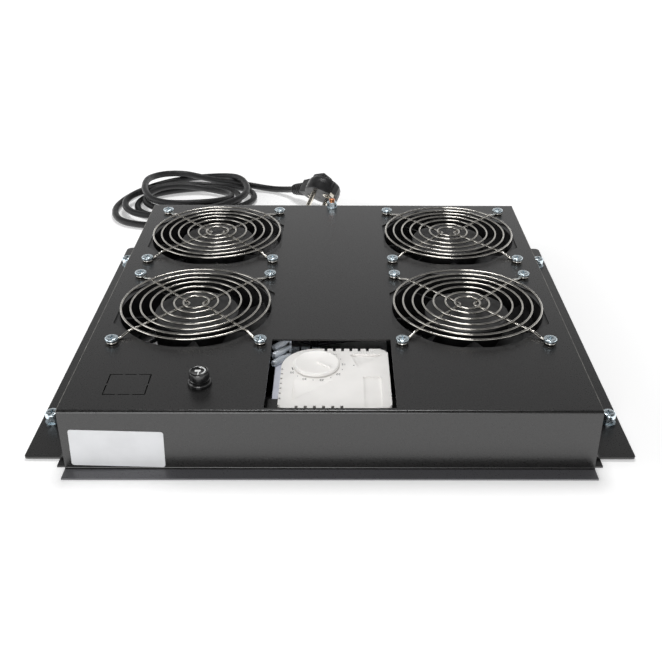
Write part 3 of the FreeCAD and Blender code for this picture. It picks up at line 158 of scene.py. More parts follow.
def powder_coat():
    """Black textured polyester powder on steel: a fine even orange peel that spreads highlights
    softly. The real peel is about 0.5 mm wide; it is drawn at 0.9 mm so that it shows."""
    peel = 0.9
    edge_depth = 0.25 * MM
    edge_height = 1.3 * MM
    wall = 1.2 * MM
    lip_top = 2 * MM
    wear_width = 9
    bare_metal = "#a9a7a0"
    # The lips' paler grey is painted light, not a different coat
    painted_lip_light = "#5c5c5f"
    material = new_finish("black_powder_coat", ("#121212", "#1c1b1b"), peel, (0.27, 0.33),
                          peel, 0.045)
    tree = material.node_tree
    shader = tree.nodes["Principled BSDF"]
    coat = shader.inputs["Base Color"].links[0].from_socket
    plate_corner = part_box("tray_chassis")[1]
    place = add_node(tree, "ShaderNodeTexCoord")
    axes = add_node(tree, "ShaderNodeSeparateXYZ", {}, {"Vector": place.outputs["Object"]})

    # Bare metal shows here and there along the plate's cut side edges, where the powder is thin
    side = add_node(tree, "ShaderNodeMath", {"operation": "ABSOLUTE"}, {0: axes.outputs["X"]})
    at_side = add_node(tree, "ShaderNodeMath", {"operation": "GREATER_THAN"},
                       {0: side.outputs[0], 1: plate_corner[0] - edge_depth})
    on_plate = add_node(tree, "ShaderNodeMath", {"operation": "GREATER_THAN"},
                        {0: axes.outputs["Z"], 1: plate_corner[2] - edge_height})
    edge = add_node(tree, "ShaderNodeMath", {"operation": "MULTIPLY"},
                    {0: at_side.outputs[0], 1: on_plate.outputs[0]})
    wear = add_node(tree, "ShaderNodeTexNoise", {}, {
        "Vector": place.outputs["Object"], "Scale": PER_METRE / wear_width, "Detail": 3.0,
    })
    amount = add_node(tree, "ShaderNodeMapRange", {}, {
        "Value": wear.outputs["Fac"],
        "From Min": 0.3, "From Max": 0.7, "To Min": 0.2, "To Max": 0.9,
    })
    worn = add_node(tree, "ShaderNodeMath", {"operation": "MULTIPLY"},
                    {0: edge.outputs[0], 1: amount.outputs["Result"]})
    with_edges = add_node(tree, "ShaderNodeMix", {"data_type": "RGBA"},
                          {0: worn.outputs[0], 6: coat, 7: linear(bare_metal)})

    # Painted light: the front and rear lips on the floor are painted a paler grey than the coat,
    # standing in for the light they catch
    depth = add_node(tree, "ShaderNodeMath", {"operation": "ABSOLUTE"}, {0: axes.outputs["Y"]})
    past_wall = add_node(tree, "ShaderNodeMath", {"operation": "GREATER_THAN"},
                         {0: depth.outputs[0], 1: plate_corner[0] + wall})
    near_floor = add_node(tree, "ShaderNodeMath", {"operation": "LESS_THAN"},
                          {0: axes.outputs["Z"], 1: lip_top})
    lip = add_node(tree, "ShaderNodeMath", {"operation": "MULTIPLY"},
                   {0: past_wall.outputs[0], 1: near_floor.outputs[0]})
    with_lips = add_node(tree, "ShaderNodeMix", {"data_type": "RGBA"},
                         {0: lip.outputs[0], 6: with_edges.outputs[2], 7: linear(painted_lip_light)})
    tree.links.new(with_lips.outputs[2], shader.inputs["Base Color"])
    return material


def make_finishes():
    """Every finish on the part, by the name of its slot in the record."""
    metal = {"Metallic": 1.0}
    # Two colours, how wide they drift, roughness, the grain's width and height, other settings.
    # The real grains are finer than this; each is drawn just coarse enough to show
    rows = {
        # Bright blue passivated zinc on steel: cool, slightly cloudy mirror
        "zinc_plated_steel": (("#a9b6bd", "#c9d3d8"), 2.5, (0.20, 0.34), 0.6, 0.010, metal),
        # Stove enamel on die-cast aluminium: satin black over a faint cast skin
        "black_fan_frame": (("#0f0f10", "#161617"), 5, (0.38, 0.5), 0.8, 0.03),
        # Enamelled copper windings: deep orange-brown lacquer
        "copper_winding": (("#5a2b14", "#7a3d1c"), 1.5, (0.25, 0.4), 0.5, 0.1),
        # Ground shaft steel: clean grey shine
        "bright_steel": (("#8d8f92", "#a5a7aa"), 2, (0.2, 0.3), 0.4, 0.005, metal),
        # Oil-filled sintered bronze: dull brown metal
        "sintered_bronze": (("#7c5a35", "#94703f"), 1, (0.35, 0.5), 0.4, 0.02, metal),
        # Glass-filled nylon rotor: matt black with a dusty drift
        "black_fan_rotor": (("#101011", "#1a1a1b"), 7, (0.34, 0.48), 0.7, 0.02),
        # Bright nickel-chrome on drawn wire: a warm, nearly clean mirror
        "chromed_wire": (("#a3a09a", "#bebbb5"), 4, (0.10, 0.18), 0.8, 0.004, metal),
        # Spark-textured white ABS: even soft sheen, with a little light under its skin
        "white_plastic": (("#efedea", "#f3f1ee"), 12, (0.38, 0.48), 0.6, 0.008,
                          {"IOR": 1.54, "Subsurface Weight": 0.05,
                           "Subsurface Radius": (0.001, 0.001, 0.001)}),
        # The same ABS in the cooler, bluish white of the thermostat's base
        "bluish_white_plastic": (("#d5d8e6", "#dee1ec"), 9, (0.36, 0.46), 0.6, 0.008,
                                 {"IOR": 1.54}),
        # Matt grey nylon of the thermostat's switch
        "grey_plastic": (("#4a4b4d", "#545557"), 5, (0.4, 0.5), 0.6, 0.01),
        # Natural nylon: milky, lets light through
        "clear_nylon": (("#d6dee8", "#e6ecf2"), 3, (0.14, 0.25), 0.8, 0.01,
                        {"IOR": 1.53, "Transmission Weight": 0.3}),
        # Moulded black nylon of fuse holder and gland: glossy, with sharp highlights
        "black_plastic": (("#0b0b0c", "#121213"), 4, (0.14, 0.22), 0.9, 0.006),
        # Drawn glass tube of the fuse: clear and smooth
        "fuse_glass": (("#d9e2e0", "#e4ebe9"), 3, (0.03, 0.06), 1.0, 0.001,
                       {"IOR": 1.47, "Transmission Weight": 0.9}),
        # Copper flash on the steel stud: warm pinkish brown shine
        "copper_plated_steel": (("#b06a48", "#c98a5e"), 1.5, (0.22, 0.36), 0.5, 0.01, metal),
        # White label film: even satin, without grain to speak of
        "label_paper": (("#c6c7c9", "#cdced0"), 15, (0.32, 0.4), 1.2, 0.004),
        # Extruded PVC wire insulation: dark grey and waxy
        "wire_sleeving": (("#26262a", "#303035"), 5, (0.35, 0.45), 0.7, 0.01),
        # Soft black PVC of the cord and the plug: dull sheen with faint scuffs
        "black_rubber": (("#131314", "#1c1c1d"), 6, (0.40, 0.54), 0.8, 0.02,
                         {"IOR": 1.52, "Specular IOR Level": 0.3}),
        # Nickel plate on brass: pale metal, a little yellow
        "nickel_plated_brass": (("#b2aca0", "#cbc6bc"), 1.8, (0.18, 0.32), 0.5, 0.01, metal),
    }
    finishes = {"black_powder_coat": powder_coat()}
    for name, row in rows.items():
        finishes[name] = new_finish(name, *row)
    return finishes


def dress_nodes(finishes):
    """Gives every CAD node the finish of its slot."""
    for subpart in frame["record"]["subparts"]:
        materials = nodes[subpart["node"]].data.materials
        materials.clear()
        materials.append(finishes[subpart["material_slot"]])


# ---------------------------------------------------------------- mesh helpers
def add_piece(name, data, material, body, replaced=()):
    """Adds a piece that moves with body and stands in for the replaced CAD nodes."""
    piece = bpy.data.objects.new(name, data)
    bpy.context.scene.collection.objects.link(piece)
    data.materials.clear()
    data.materials.append(material)
    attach(piece, body)
    if replaced:
        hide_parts(*replaced)
    return piece


def mesh_from(build):
    """Runs build on an empty bmesh and returns the mesh, smooth but for its sharp edges."""
    shape = bmesh.new()
    build(shape)
    bmesh.ops.recalc_face_normals(shape, faces=shape.faces)
    data = bpy.data.meshes.new("mesh")
    shape.to_mesh(data)
    shape.free()
    for polygon in data.polygons:
        polygon.use_smooth = True
    data.set_sharp_from_angle(angle=math.radians(SMOOTH_ANGLE))
    return data


def settled(data, *modifiers):
    """The mesh after the given modifiers, each a kind and its settings."""
    holder = bpy.data.objects.new("holder", data)
    bpy.context.scene.collection.objects.link(holder)
    for kind, settings in modifiers:
        modifier = holder.modifiers.new(kind, kind)
        for name, value in settings.items():
            setattr(modifier, name, value)
    evaluated = holder.evaluated_get(bpy.context.evaluated_depsgraph_get())
    result = bpy.data.meshes.new_from_object(evaluated)
    bpy.data.objects.remove(holder)
    return result


def cut_from(data, build):
    """The mesh less the closed forms that build makes."""
    tool = bpy.data.objects.new("tool", mesh_from(build))
    bpy.context.scene.collection.objects.link(tool)
    cut = {"operation": "DIFFERENCE", "solver": "EXACT", "object": tool}
    result = settled(data, ("BOOLEAN", cut))
    bpy.data.objects.remove(tool)
    return result


def round_edges(shape, edges, radius, segments, profile=0.5):
    """Rounds edges with a radius in millimetres."""
    bmesh.ops.bevel(shape, geom=list(edges), offset=radius * MM, segments=segments,
                    affect="EDGES", profile=profile)


def add_walls(shape, floor, roof):
    """Closes the side between two rings that have the same number of corners."""
    for index in range(len(floor)):
        after = (index + 1) % len(floor)
        shape.faces.new((floor[index], floor[after], roof[after], roof[index]))


def add_prism(shape, outline, low, high):
    """A closed outline of (x, y) in millimetres, extruded from height low to high; returns its
    top face."""
    floor = [shape.verts.new(mm(x, y, low)) for x, y in outline]
    roof = [shape.verts.new(mm(x, y, high)) for x, y in outline]
    shape.faces.new(floor[::-1])
    top = shape.faces.new(roof)
    add_walls(shape, floor, roof)
    return top


def add_block(shape, x0, x1, y0, y1, z0, z1):
    """A box between the given coordinates in millimetres."""
    add_prism(shape, [(x0, y0), (x1, y0), (x1, y1), (x0, y1)], z0, z1)


def add_facet(shape, corners, depths, top):
    """A wedge-shaped cutter with its own depth below top at each of three corners."""
    roof = [shape.verts.new(mm(x, y, top + 1)) for x, y in corners]
    floor = [shape.verts.new(mm(x, y, top - depth)) for (x, y), depth in zip(corners, depths)]
    shape.faces.new(roof)
    shape.faces.new(floor[::-1])
    add_walls(shape, floor, roof)


def add_loft(shape, sections):
    """A closed block along X through (x, half width, low, high) sections."""
    rings = []
    for x, half, low, high in sections:
        section = ((-half, low), (half, low), (half, high), (-half, high))
        rings.append([shape.verts.new(mm(x, y, z)) for y, z in section])
    shape.faces.new(rings[0][::-1])
    shape.faces.new(rings[-1])
    for first, second in zip(rings, rings[1:]):
        add_walls(shape, first, second)


def add_lathe(shape, profile, segments=48):
    """Turns a profile of (radius, height) in millimetres about Z; radius 0 closes an end."""
    rings = []
    for radius, height in profile:
        if radius == 0:
            rings.append([shape.verts.new(mm(0, 0, height))])
            continue
        rings.append([
            shape.verts.new(mm(radius * math.cos(math.tau * step / segments),
                               radius * math.sin(math.tau * step / segments), height))
            for step in range(segments)
        ])
    for lower, upper in zip(rings, rings[1:]):
        for step in range(segments):
            after = (step + 1) % segments
            corners = [lower[step % len(lower)], lower[after % len(lower)],
                       upper[after % len(upper)], upper[step % len(upper)]]
            unique = list(dict.fromkeys(corners))
            if len(unique) > 2:
                shape.faces.new(unique)


def rounded_outline(x0, x1, y0, y1, radii, steps=8):
    """A rectangle's outline; radii run front-left, front-right, rear-right, rear-left. A corner
    over the large radius takes finer steps."""
    large = 15
    finer = 3
    outline = []
    centres = ((x0, y0, 180), (x1, y0, 270), (x1, y1, 0), (x0, y1, 90))
    for (x, y, start), radius in zip(centres, radii):
        inward_x = radius if x == x0 else -radius
        inward_y = radius if y == y0 else -radius
        count = steps * (finer if radius > large else 1)
        for step in range(count + 1):
            angle = math.radians(start + 90 * step / count)
            outline.append((x + inward_x + radius * math.cos(angle),
                            y + inward_y + radius * math.sin(angle)))
    return outline


def arc_band(x, y, radius, width, start, end):
    """A flat curved band about (x, y) as an outline, angles in degrees."""
    steps = 24
    outer = []
    inner = []
    for step in range(steps + 1):
        angle = math.radians(start + (end - start) * step / steps)
        for side, reach in ((outer, radius + width / 2), (inner, radius - width / 2)):
            side.append((x + reach * math.cos(angle), y + reach * math.sin(angle)))
    return outer + inner[::-1]


# ---------------------------------------------------------------- thermostat
def thermostat_cover(finishes):
    """Square cover with one corner rounded about the dial, vent slots, two sunk facets and a
    sunk panel."""
    low, high = corners_of("thermostat_cover")
    dial = middle_of("thermostat_dial") / MM
    around_dial = dial.x - low.x
    corner = 5
    top_radius = 1.3
    wall = 2
    roof = 4
    above = high.z + 1

    def shell(shape):
        outline = rounded_outline(low.x, high.x, low.y, high.y,
                                  [corner, corner, corner, around_dial])
        top = add_prism(shape, outline, low.z, high.z)
        round_edges(shape, top.edges, top_radius, 4)

    def slots_and_facets(shape):
        slot_pitch = 5.9
        slot_width = 2.0
        side_slot_width = 1.7
        front_depth = 3.6
        rear_depth = 3.2
        side_depth = 1.6
        slot_floor = low.z + 1
        front_start = (low.x + high.x) / 2 - 26
        rear_start = (low.x + high.x) / 2 - 7.6
        side_start = (low.y + high.y) / 2 - 26
        for index in range(6):
            front_x = front_start + slot_pitch * index
            rear_x = rear_start + slot_pitch * index
            add_block(shape, front_x, front_x + slot_width, low.y - 1, low.y + front_depth,
                      slot_floor, above)
            add_block(shape, rear_x, rear_x + slot_width, high.y - rear_depth, high.y + 1,
                      slot_floor, above)
        for index in range(7):
            side_y = side_start + slot_pitch * index
            add_block(shape, low.x - 1, low.x + side_depth, side_y, side_y + side_slot_width,
                      slot_floor, above)
        # The sunk panel at the front right
        panel_depth = 0.9
        panel = rounded_outline(high.x - 18.2, high.x - 6.2, low.y + 2, low.y + 38, [0.8] * 4, 3)
        add_prism(shape, panel, high.z - panel_depth, above)
        # The two sunk facets: one deepens to its front corner, the other to its rear side
        flush = 0.1
        front_left = [(low.x + 9, low.y + 9), (low.x + 9, low.y + 34), (low.x + 36, low.y + 34)]
        add_facet(shape, front_left, (3.0, flush, flush), high.z)
        rear_right = [(high.x - 3.8, high.y - 7.3), (high.x - 27, high.y - 7.3),
                      (high.x - 21.6, high.y - 24)]
        add_facet(shape, rear_right, (1.6, 1.6, flush), high.z)

    def inside(shape):
        outline = rounded_outline(low.x + wall, high.x - wall, low.y + wall, high.y - wall,
                                  [4, 4, 4, around_dial - wall])
        add_prism(shape, outline, low.z - 1, high.z - roof)

    body = cut_from(cut_from(mesh_from(shell), slots_and_facets), inside)
    body.set_sharp_from_angle(angle=math.radians(SMOOTH_ANGLE))
    add_piece("thermostat_cover_shell", body, finishes["white_plastic"], "tray",
              ["thermostat_cover"])


def thermostat_dial(finishes):
    """Flat knob with a rolled rim and a raised pointer."""
    low, high = corners_of("thermostat_dial")
    centre = (low + high) / 2
    radius = (high.x - low.x) / 2
    plate = high.z - 0.9
    hollow = plate - 0.15
    pointer_angle = -39

    def knob(shape):
        add_lathe(shape, [(0, low.z), (radius - 0.6, low.z), (radius, low.z + 0.5),
                          (radius - 0.1, plate - 0.9), (radius - 0.5, plate - 0.25),
                          (radius - 1.2, plate), (radius - 1.9, plate),
                          (radius - 2.2, hollow), (0, hollow)], 96)
        pointer_start = len(shape.verts)
        pointer = rounded_outline(0.5, 12.2, -1.0, 1.0, [0.95] * 4, 6)
        top = add_prism(shape, pointer, plate - 0.6, high.z)
        round_edges(shape, top.edges, 0.35, 3)
        shape.verts.ensure_lookup_table()
        turn = Matrix.Rotation(math.radians(pointer_angle), 4, "Z")
        bmesh.ops.transform(shape, matrix=turn, verts=shape.verts[pointer_start:])
        bmesh.ops.translate(shape, vec=mm(centre.x, centre.y, 0), verts=shape.verts)

    add_piece("thermostat_knob", mesh_from(knob), finishes["white_plastic"], "dial",
              ["thermostat_dial"])


def thermostat_scale(finishes):
    """Printed temperatures and dots round the dial, read from the rear of the tray, the end
    stop's mark and a dot beside the scale."""
    top = top_of("thermostat_cover")
    ink_top = top + 0.04
    dial = middle_of("thermostat_dial") / MM
    ink = new_finish("grey_print", ("#2f3237", "#3c3f44"), 1, (0.5, 0.6), 0.5, 0.002)
    number_reach = 18.9
    number_height = 3.1
    dot_reach = 18.6
    dot_half = 0.35
    stop_reach = 17.1
    stop_width = 0.7
    angles = (92, 48, 4, -37, -78, -114, -151)
    for number, angle in zip(range(5, 40, 5), angles):
        text = bpy.data.curves.new("scale", "FONT")
        text.body = str(number)
        text.size = number_height * MM
        text.align_x = "CENTER"
        text.align_y = "CENTER"
        text.extrude = 0.02 * MM
        piece = add_piece("scale_%d" % number, text, ink, "tray")
        piece.location = mm(dial.x + number_reach * math.cos(math.radians(angle)),
                            dial.y + number_reach * math.sin(math.radians(angle)), top + 0.03)
        piece.rotation_euler = (0, 0, math.pi)

    def dots(shape):
        for first, second in zip(angles, angles[1:]):
            angle = math.radians((first + second) / 2)
            x = dial.x + dot_reach * math.cos(angle)
            y = dial.y + dot_reach * math.sin(angle)
            dot = rounded_outline(x - dot_half, x + dot_half, y - dot_half, y + dot_half,
                                  [0.34] * 4, 4)
            add_prism(shape, dot, top, ink_top)
        stop = arc_band(dial.x, dial.y, stop_reach, stop_width, 190, 201)
        add_prism(shape, stop, top, ink_top)
        beside = rounded_outline(dial.x + 25.3, dial.x + 26.3, dial.y - 0.4, dial.y + 0.4,
                                 [0.39] * 4, 4)
        add_prism(shape, beside, top, ink_top)

    add_piece("scale_dots", mesh_from(dots), ink, "tray")


def terminal_sleeves(finishes):
    """Three clear sleeves on the leads that rise behind the thermostat, one on another."""
    base_low, base_high = corners_of("thermostat_base")
    block_top = top_of("terminal_block")
    lead_half = 0.8
    step_forward = 7
    step_down = 2.5
    # The sleeves lie almost flat and point to the rear right
    turn = Matrix.Rotation(math.radians(42), 4, "Z") @ Matrix.Rotation(math.radians(84), 4, "Y")

    def sleeves(shape):
        for index in range(3):
            start = len(shape.verts)
            add_lathe(shape, [(2.2, 0), (2.6, 0.3), (2.6, 9), (1.8, 12), (1.5, 16), (1.1, 16),
                              (1.4, 12), (2.2, 9), (2.2, 0)], 20)
            bmesh.ops.transform(shape, matrix=turn, verts=shape.verts[start:])
            place = Vector((base_low.x - 2, base_high.y + 4 - step_forward * index,
                            38 - step_down * index))
            bmesh.ops.translate(shape, vec=place * MM, verts=shape.verts[start:])
            # The lead from the sleeve's thin end down to the terminal block
            tip = place + turn @ Vector((0, 0, 15.5))
            add_block(shape, tip.x - lead_half, tip.x + lead_half,
                      tip.y - lead_half, tip.y + lead_half, block_top - 0.3, tip.z)

    add_piece("terminal_sleeves", mesh_from(sleeves), finishes["clear_nylon"], "tray")


def retaining_tab(finishes):
    """Black tab that stands on the thermostat's strip and folds over the left of its base."""
    base_low, base_high = corners_of("thermostat_base")
    cover_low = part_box("thermostat_cover")[0][0] / MM
    left = base_low.x - 2.4
    stand_right = base_low.x - 1.2
    front = base_low.y
    rear = base_low.y + 21
    fold = base_high.z + 0.1
    top = base_high.z + 1.3

    def tab(shape):
        add_block(shape, left, cover_low - 0.3, front, rear, fold, top)
        add_block(shape, left, stand_right, front, rear, base_low.z, fold)

    add_piece("retaining_tab", mesh_from(tab), finishes["black_powder_coat"], "tray")


def rating_label(finishes):
    """The bare label, stuck on 4.2 mm further right and 1.2 mm lower than in the solids."""
    moved = mm(4.2, 0, -1.2)
    film = nodes["rating_label"].data.copy()
    film.transform(Matrix.Translation(moved))
    add_piece("label_film", film, finishes["label_paper"], "tray",
              ["rating_label"])


# ---------------------------------------------------------------- fuse holder
def fuse_holder(finishes):
    """Flanged holder with a drip groove, and its bayonet cap with a printed turn arrow and fuse
    sign."""
    low, high = corners_of("fuse_cap")
    centre = (low + high) / 2
    holder_low, holder_high = corners_of("fuse_holder_body")
    plate = top_of("tray_chassis")
    flange = holder_high.z
    tag_apart = 3
    tag_length = 9

    def holder(shape):
        add_lathe(shape, [(6.1, holder_low.z + 7), (6.1, plate), (8.0, plate),
                          (8.0, plate + 1.6), (7.8, plate + 2.2), (7.2, flange - 0.2),
                          (6.9, flange), (4.3, flange), (4.3, holder_low.z + 10)])
        bmesh.ops.translate(shape, vec=mm(centre.x, centre.y, 0), verts=shape.verts)
        # The two solder tags below
        for side in (-1, 1):
            x = centre.x + side * tag_apart
            add_block(shape, x - 0.4, x + 0.4, centre.y - 1.4, centre.y + 1.4,
                      holder_low.z, holder_low.z + tag_length)

    def cap(shape):
        radius = (high.x - low.x) / 2
        add_lathe(shape, [(0, low.z), (4.1, low.z), (4.1, flange), (radius, flange + 0.05),
                          (radius, flange + 0.9), (radius - 0.35, flange + 1.3),
                          (radius - 0.35, flange + 1.7), (radius, flange + 2.1),
                          (radius - 0.15, high.z - 1.1), (radius - 0.5, high.z - 0.4),
                          (radius - 1.3, high.z), (radius - 1.7, high.z - 0.15),
                          (0, high.z - 0.15)], 64)
        bmesh.ops.translate(shape, vec=mm(centre.x, centre.y, 0), verts=shape.verts)

    def marks(shape):
        x = centre.x
        y = centre.y
        paint_low = high.z - 0.16
        paint_top = high.z - 0.08
        arrow_reach = 4.1
        arrow_width = 0.8
        arrow_start = -60
        arrow_end = 75
        arrow = arc_band(x, y, arrow_reach, arrow_width, arrow_start, arrow_end)
        tip_x = x + arrow_reach * math.cos(math.radians(arrow_end))
        tip_y = y + arrow_reach * math.sin(math.radians(arrow_end))
        head = [(tip_x + 0.3, tip_y - 1.2), (tip_x + 0.5, tip_y + 1.2), (tip_x - 1.9, tip_y + 0.3)]
        add_prism(shape, arrow, paint_low, paint_top)
        add_prism(shape, head, paint_low, paint_top)
        # The fuse sign: a bar and the line into it
        add_block(shape, x - 2.6, x + 1.2, y - 1.2, y + 0.9, paint_low, paint_top)
        add_block(shape, x - 0.35, x + 0.35, y - 4.9, y - 1.2, paint_low, paint_top)

    black = finishes["black_plastic"]
    add_piece("fuse_holder_shell", mesh_from(holder), black, "tray",
              ["fuse_holder_body"])
    add_piece("fuse_cap_shell", mesh_from(cap), black, "fuse_cap", ["fuse_cap"])
    paint = new_finish("white_print", ("#dcdedd", "#e8e9e8"), 1, (0.45, 0.55), 0.5, 0.002)
    add_piece("fuse_cap_marks", mesh_from(marks), paint, "fuse_cap")


# ---------------------------------------------------------------- mains cord
# The cord's width, and the points (x, y, height) that its middle runs by, in millimetres
CORD = 7.0
FROM_GLAND = [
    (-40, 200.5, 18), (-40, 222, 15.5), (-45, 242, 11), (-60, 257, 6.5), (-80, 262, 4),
    (-100, 258, 3.8), (-120, 243, 3.8),
]
TURNS = [
    # first turn, outermost, on the floor; it rises over the others on the right
    (-139, 229, 4), (-159, 220.5, 4), (-181, 217.5, 4), (-203, 220, 4), (-222, 229, 4),
    (-233, 247, 4), (-236, 269, 4), (-230, 294, 4), (-218, 318, 4), (-200, 340, 4),
    (-176, 356, 4), (-150, 362, 4.5), (-126, 354, 8.5), (-109, 337, 13), (-100, 319, 13),
    (-96, 300, 12.5), (-98, 282, 12.5), (-107, 267, 12),
    # second turn: high in front, on the floor at the back
    (-122, 254, 12), (-141, 242, 12), (-162, 234, 11), (-184, 230, 10), (-203, 234.5, 9),
    (-217, 245.5, 9), (-225, 261.5, 9.5), (-225, 278, 10.5), (-217, 293, 11), (-204, 307, 10.5),
    (-187, 319, 9.5), (-167, 329, 7.5), (-145, 333.5, 4.5), (-123, 333.5, 4), (-105, 326.5, 4),
    (-94, 315.5, 4), (-88.5, 301, 4), (-90, 286, 4),
    # third turn, on the floor inside the second
    (-99.5, 272, 4), (-114, 259, 4), (-130, 249, 4), (-147, 242, 4), (-165, 239, 4),
    (-183, 240, 4), (-198, 246, 4), (-209, 257, 4), (-214, 272, 4), (-213, 289, 4),
    (-204, 303.5, 4), (-190, 313.5, 4), (-173, 320.5, 4), (-155, 325, 4), (-138, 326, 4),
    (-122, 322, 4), (-110, 312, 4), (-104.5, 297, 4),
    # fourth turn, the smallest; its left half lies on the third
    (-106, 282, 4), (-113, 268.5, 5.5), (-123.5, 259, 8), (-138.5, 251.5, 9), (-156, 247, 9),
    (-173, 247, 9), (-190, 252.5, 9.5), (-201.5, 264, 9.5), (-206.5, 280, 9.5),
    (-203.5, 295.5, 10.5), (-194.5, 307.5, 11), (-181, 314.5, 11), (-165, 318, 9.5),
    (-149, 318.5, 7), (-134, 315, 5.5), (-121, 306.5, 6), (-113.5, 293.5, 8.5),
    # fifth turn stands up in an arch on the left, then runs out under the first to the plug
    (-113, 278.5, 11), (-119.5, 265, 13.5), (-131, 255, 15.5), (-146, 248.5, 17),
    (-162, 245.5, 17.5), (-178, 247, 17.5), (-191.5, 254.5, 17.5), (-200.5, 267.5, 18),
    (-206.5, 283, 18.5), (-209.5, 300, 18.5), (-210, 318, 17.5), (-207, 333, 15),
    (-199, 345, 13.5), (-186.5, 352.5, 12), (-171, 354.5, 10.5), (-155, 351, 8), (-137, 346, 6),
    (-118, 339.5, 6),
]
TO_PLUG = [(-98, 330.5, 6), (-70, 323.5, 3.8)]


def mains_cord(finishes):
    """The whole cord as one smooth line, from the gland through its turns into the plug."""
    entry, away = plug_cord_entry()
    lead_in = 15
    route = [mm(*point) for point in FROM_GLAND + TURNS + TO_PLUG]
    route += [entry + away * lead_in * MM, entry]
    line = bpy.data.curves.new("mains_cord", "CURVE")
    line.dimensions = "3D"
    line.bevel_depth = CORD / 2 * MM
    line.bevel_resolution = 6
    line.resolution_u = 10
    line.use_fill_caps = True
    spline = line.splines.new("NURBS")
    spline.points.add(len(route) - 1)
    for point, place in zip(spline.points, route):
        point.co = (*place, 1)
    spline.order_u = 3
    spline.use_endpoint_u = True
    cord = add_piece("mains_cord", line, finishes["black_rubber"], "tray",
                     ["power_cord", "cord_coil", "plug_lead"])


# ---------------------------------------------------------------- plug
# The plug is drawn in millimetres, its face at height 0, its pins along -Z and its cord along -X
HALF_PIN = 9.5
CORD_HEIGHT = 9.5
RELIEF_END = 51


def plug_place():
    """How the plug lies: turned as in the solids, and with its pins where they are there."""
    turn = (Matrix.Rotation(math.radians(-47.2), 4, "Z")
            @ Matrix.Rotation(math.radians(-17), 4, "Y")
            @ Matrix.Rotation(math.radians(-45.2), 4, "X"))
    return Matrix.Translation(middle_of("plug_pins") - turn @ mm(0, 0, -HALF_PIN)) @ turn


def plug_cord_entry():
    """Where the cord enters the plug's relief, and which way it comes from."""
    place = plug_place()
    away = (place.to_3x3() @ Vector((-1, 0, 0))).normalized()
    return place @ mm(-RELIEF_END, 0, CORD_HEIGHT), away


def moulded_plug(finishes):
    """Angled earthed plug: a round head that runs into a tapered neck, with a finger grip
    across its back."""
    voxel = 0.55
    kept_share = 0.35
    sharp_angle = 40

    def solids(shape):
        add_lathe(shape, [(0, 0), (18.0, 0), (18.5, 0.5), (18.5, 9), (17.6, 13), (15.6, 16),
                          (12, 17.4), (0, 17.6)], 64)
        start = len(shape.verts)
        neck = [(-31, 8.0, 1.8, 16.8), (-22, 8.6, 1.2, 17.4), (-12, 9.2, 0.8, 18.6),
                (2, 9.4, 1.0, 19.0)]
        grip = [(-21, 5.0, 13, 22.0), (-19, 6.4, 10, 24.6), (-2, 7.0, 10, 25.2),
                (0.5, 6.0, 12, 22.4)]
        add_loft(shape, neck)
        # The flat boss on the rim, opposite the cord
        add_block(shape, 16.6, 19.8, -4.4, 4.4, 2.2, 13.4)
        add_loft(shape, grip)
        edges = dict.fromkeys(edge for vert in shape.verts[start:] for edge in vert.link_edges)
        round_edges(shape, edges, 1.0, 2, 0.6)

    def hollows(shape):
        # A recess for each earth strip in the rim, and the small hole in the neck
        add_block(shape, -20, -16.9, -3.2, 3.2, -1, 2.5)
        add_block(shape, 16.9, 20, -3.2, 3.2, -1, 2.5)
        add_block(shape, -21.5, -19.5, -9.5, -6.4, 8.6, 10.6)

    # The blocks are melted into one skin and softened before the hollows are cut
    body = settled(mesh_from(solids), ("REMESH", {"mode": "VOXEL", "voxel_size": voxel * MM}),
                   ("SMOOTH", {"iterations": 4, "factor": 0.5}),
                   ("DECIMATE", {"ratio": kept_share}))
    body = cut_from(body, hollows)
    for polygon in body.polygons:
        polygon.use_smooth = True
    body.set_sharp_from_angle(angle=math.radians(sharp_angle))
    body.transform(plug_place())
    add_piece("moulded_plug", body, finishes["black_rubber"], "tray",
              ["plug_body"])


def plug_relief(finishes):
    """Ribbed taper that guards the cord where it enters the plug."""
    rib_start = 30.0
    rib_pitch = 3.8
    rib_radius = 7.6
    taper = 0.3

    def ribs(shape):
        profile = [(0, rib_start)]
        along = rib_start
        for index in range(5):
            outer = rib_radius - index * taper
            profile += [(outer - 0.3, along), (outer, along + 0.3), (outer - 0.1, along + 1.9),
                        (outer - 0.4, along + 2.2), (outer - 1.7, along + 2.4),
                        (outer - 1.8, along + 3.5)]
            along += rib_pitch
        # The plain end, hollow where the cord goes in
        profile += [(5.9, 49.2), (5.7, 50.4), (4.6, RELIEF_END), (3.45, RELIEF_END), (3.45, 47),
                    (0, 47)]
        add_lathe(shape, profile, 40)
        lay_down = Matrix.Rotation(math.radians(-90), 4, "Y")
        bmesh.ops.transform(shape, matrix=lay_down, verts=shape.verts)
        bmesh.ops.translate(shape, vec=mm(0, 0, CORD_HEIGHT), verts=shape.verts)

    data = mesh_from(ribs)
    data.transform(plug_place())
    add_piece("plug_relief", data, finishes["black_rubber"], "tray",
              ["plug_strain_relief"])


# ---------------------------------------------------------------- floor, light and background
WHITE = linear("#ffffff")
# Each softbox: where it hangs and what it faces in millimetres, its width in metres, its watts
SOFTBOXES = {
    "top_box": ((0, 500, 1600), (0, 20, 0), 0.5, 14),
    "front_box": ((-250, -1600, 450), (0, 0, 20), 0.9, 13),
    "left_box": ((-1300, -200, 700), (0, 0, 20), 0.7, 4),
}


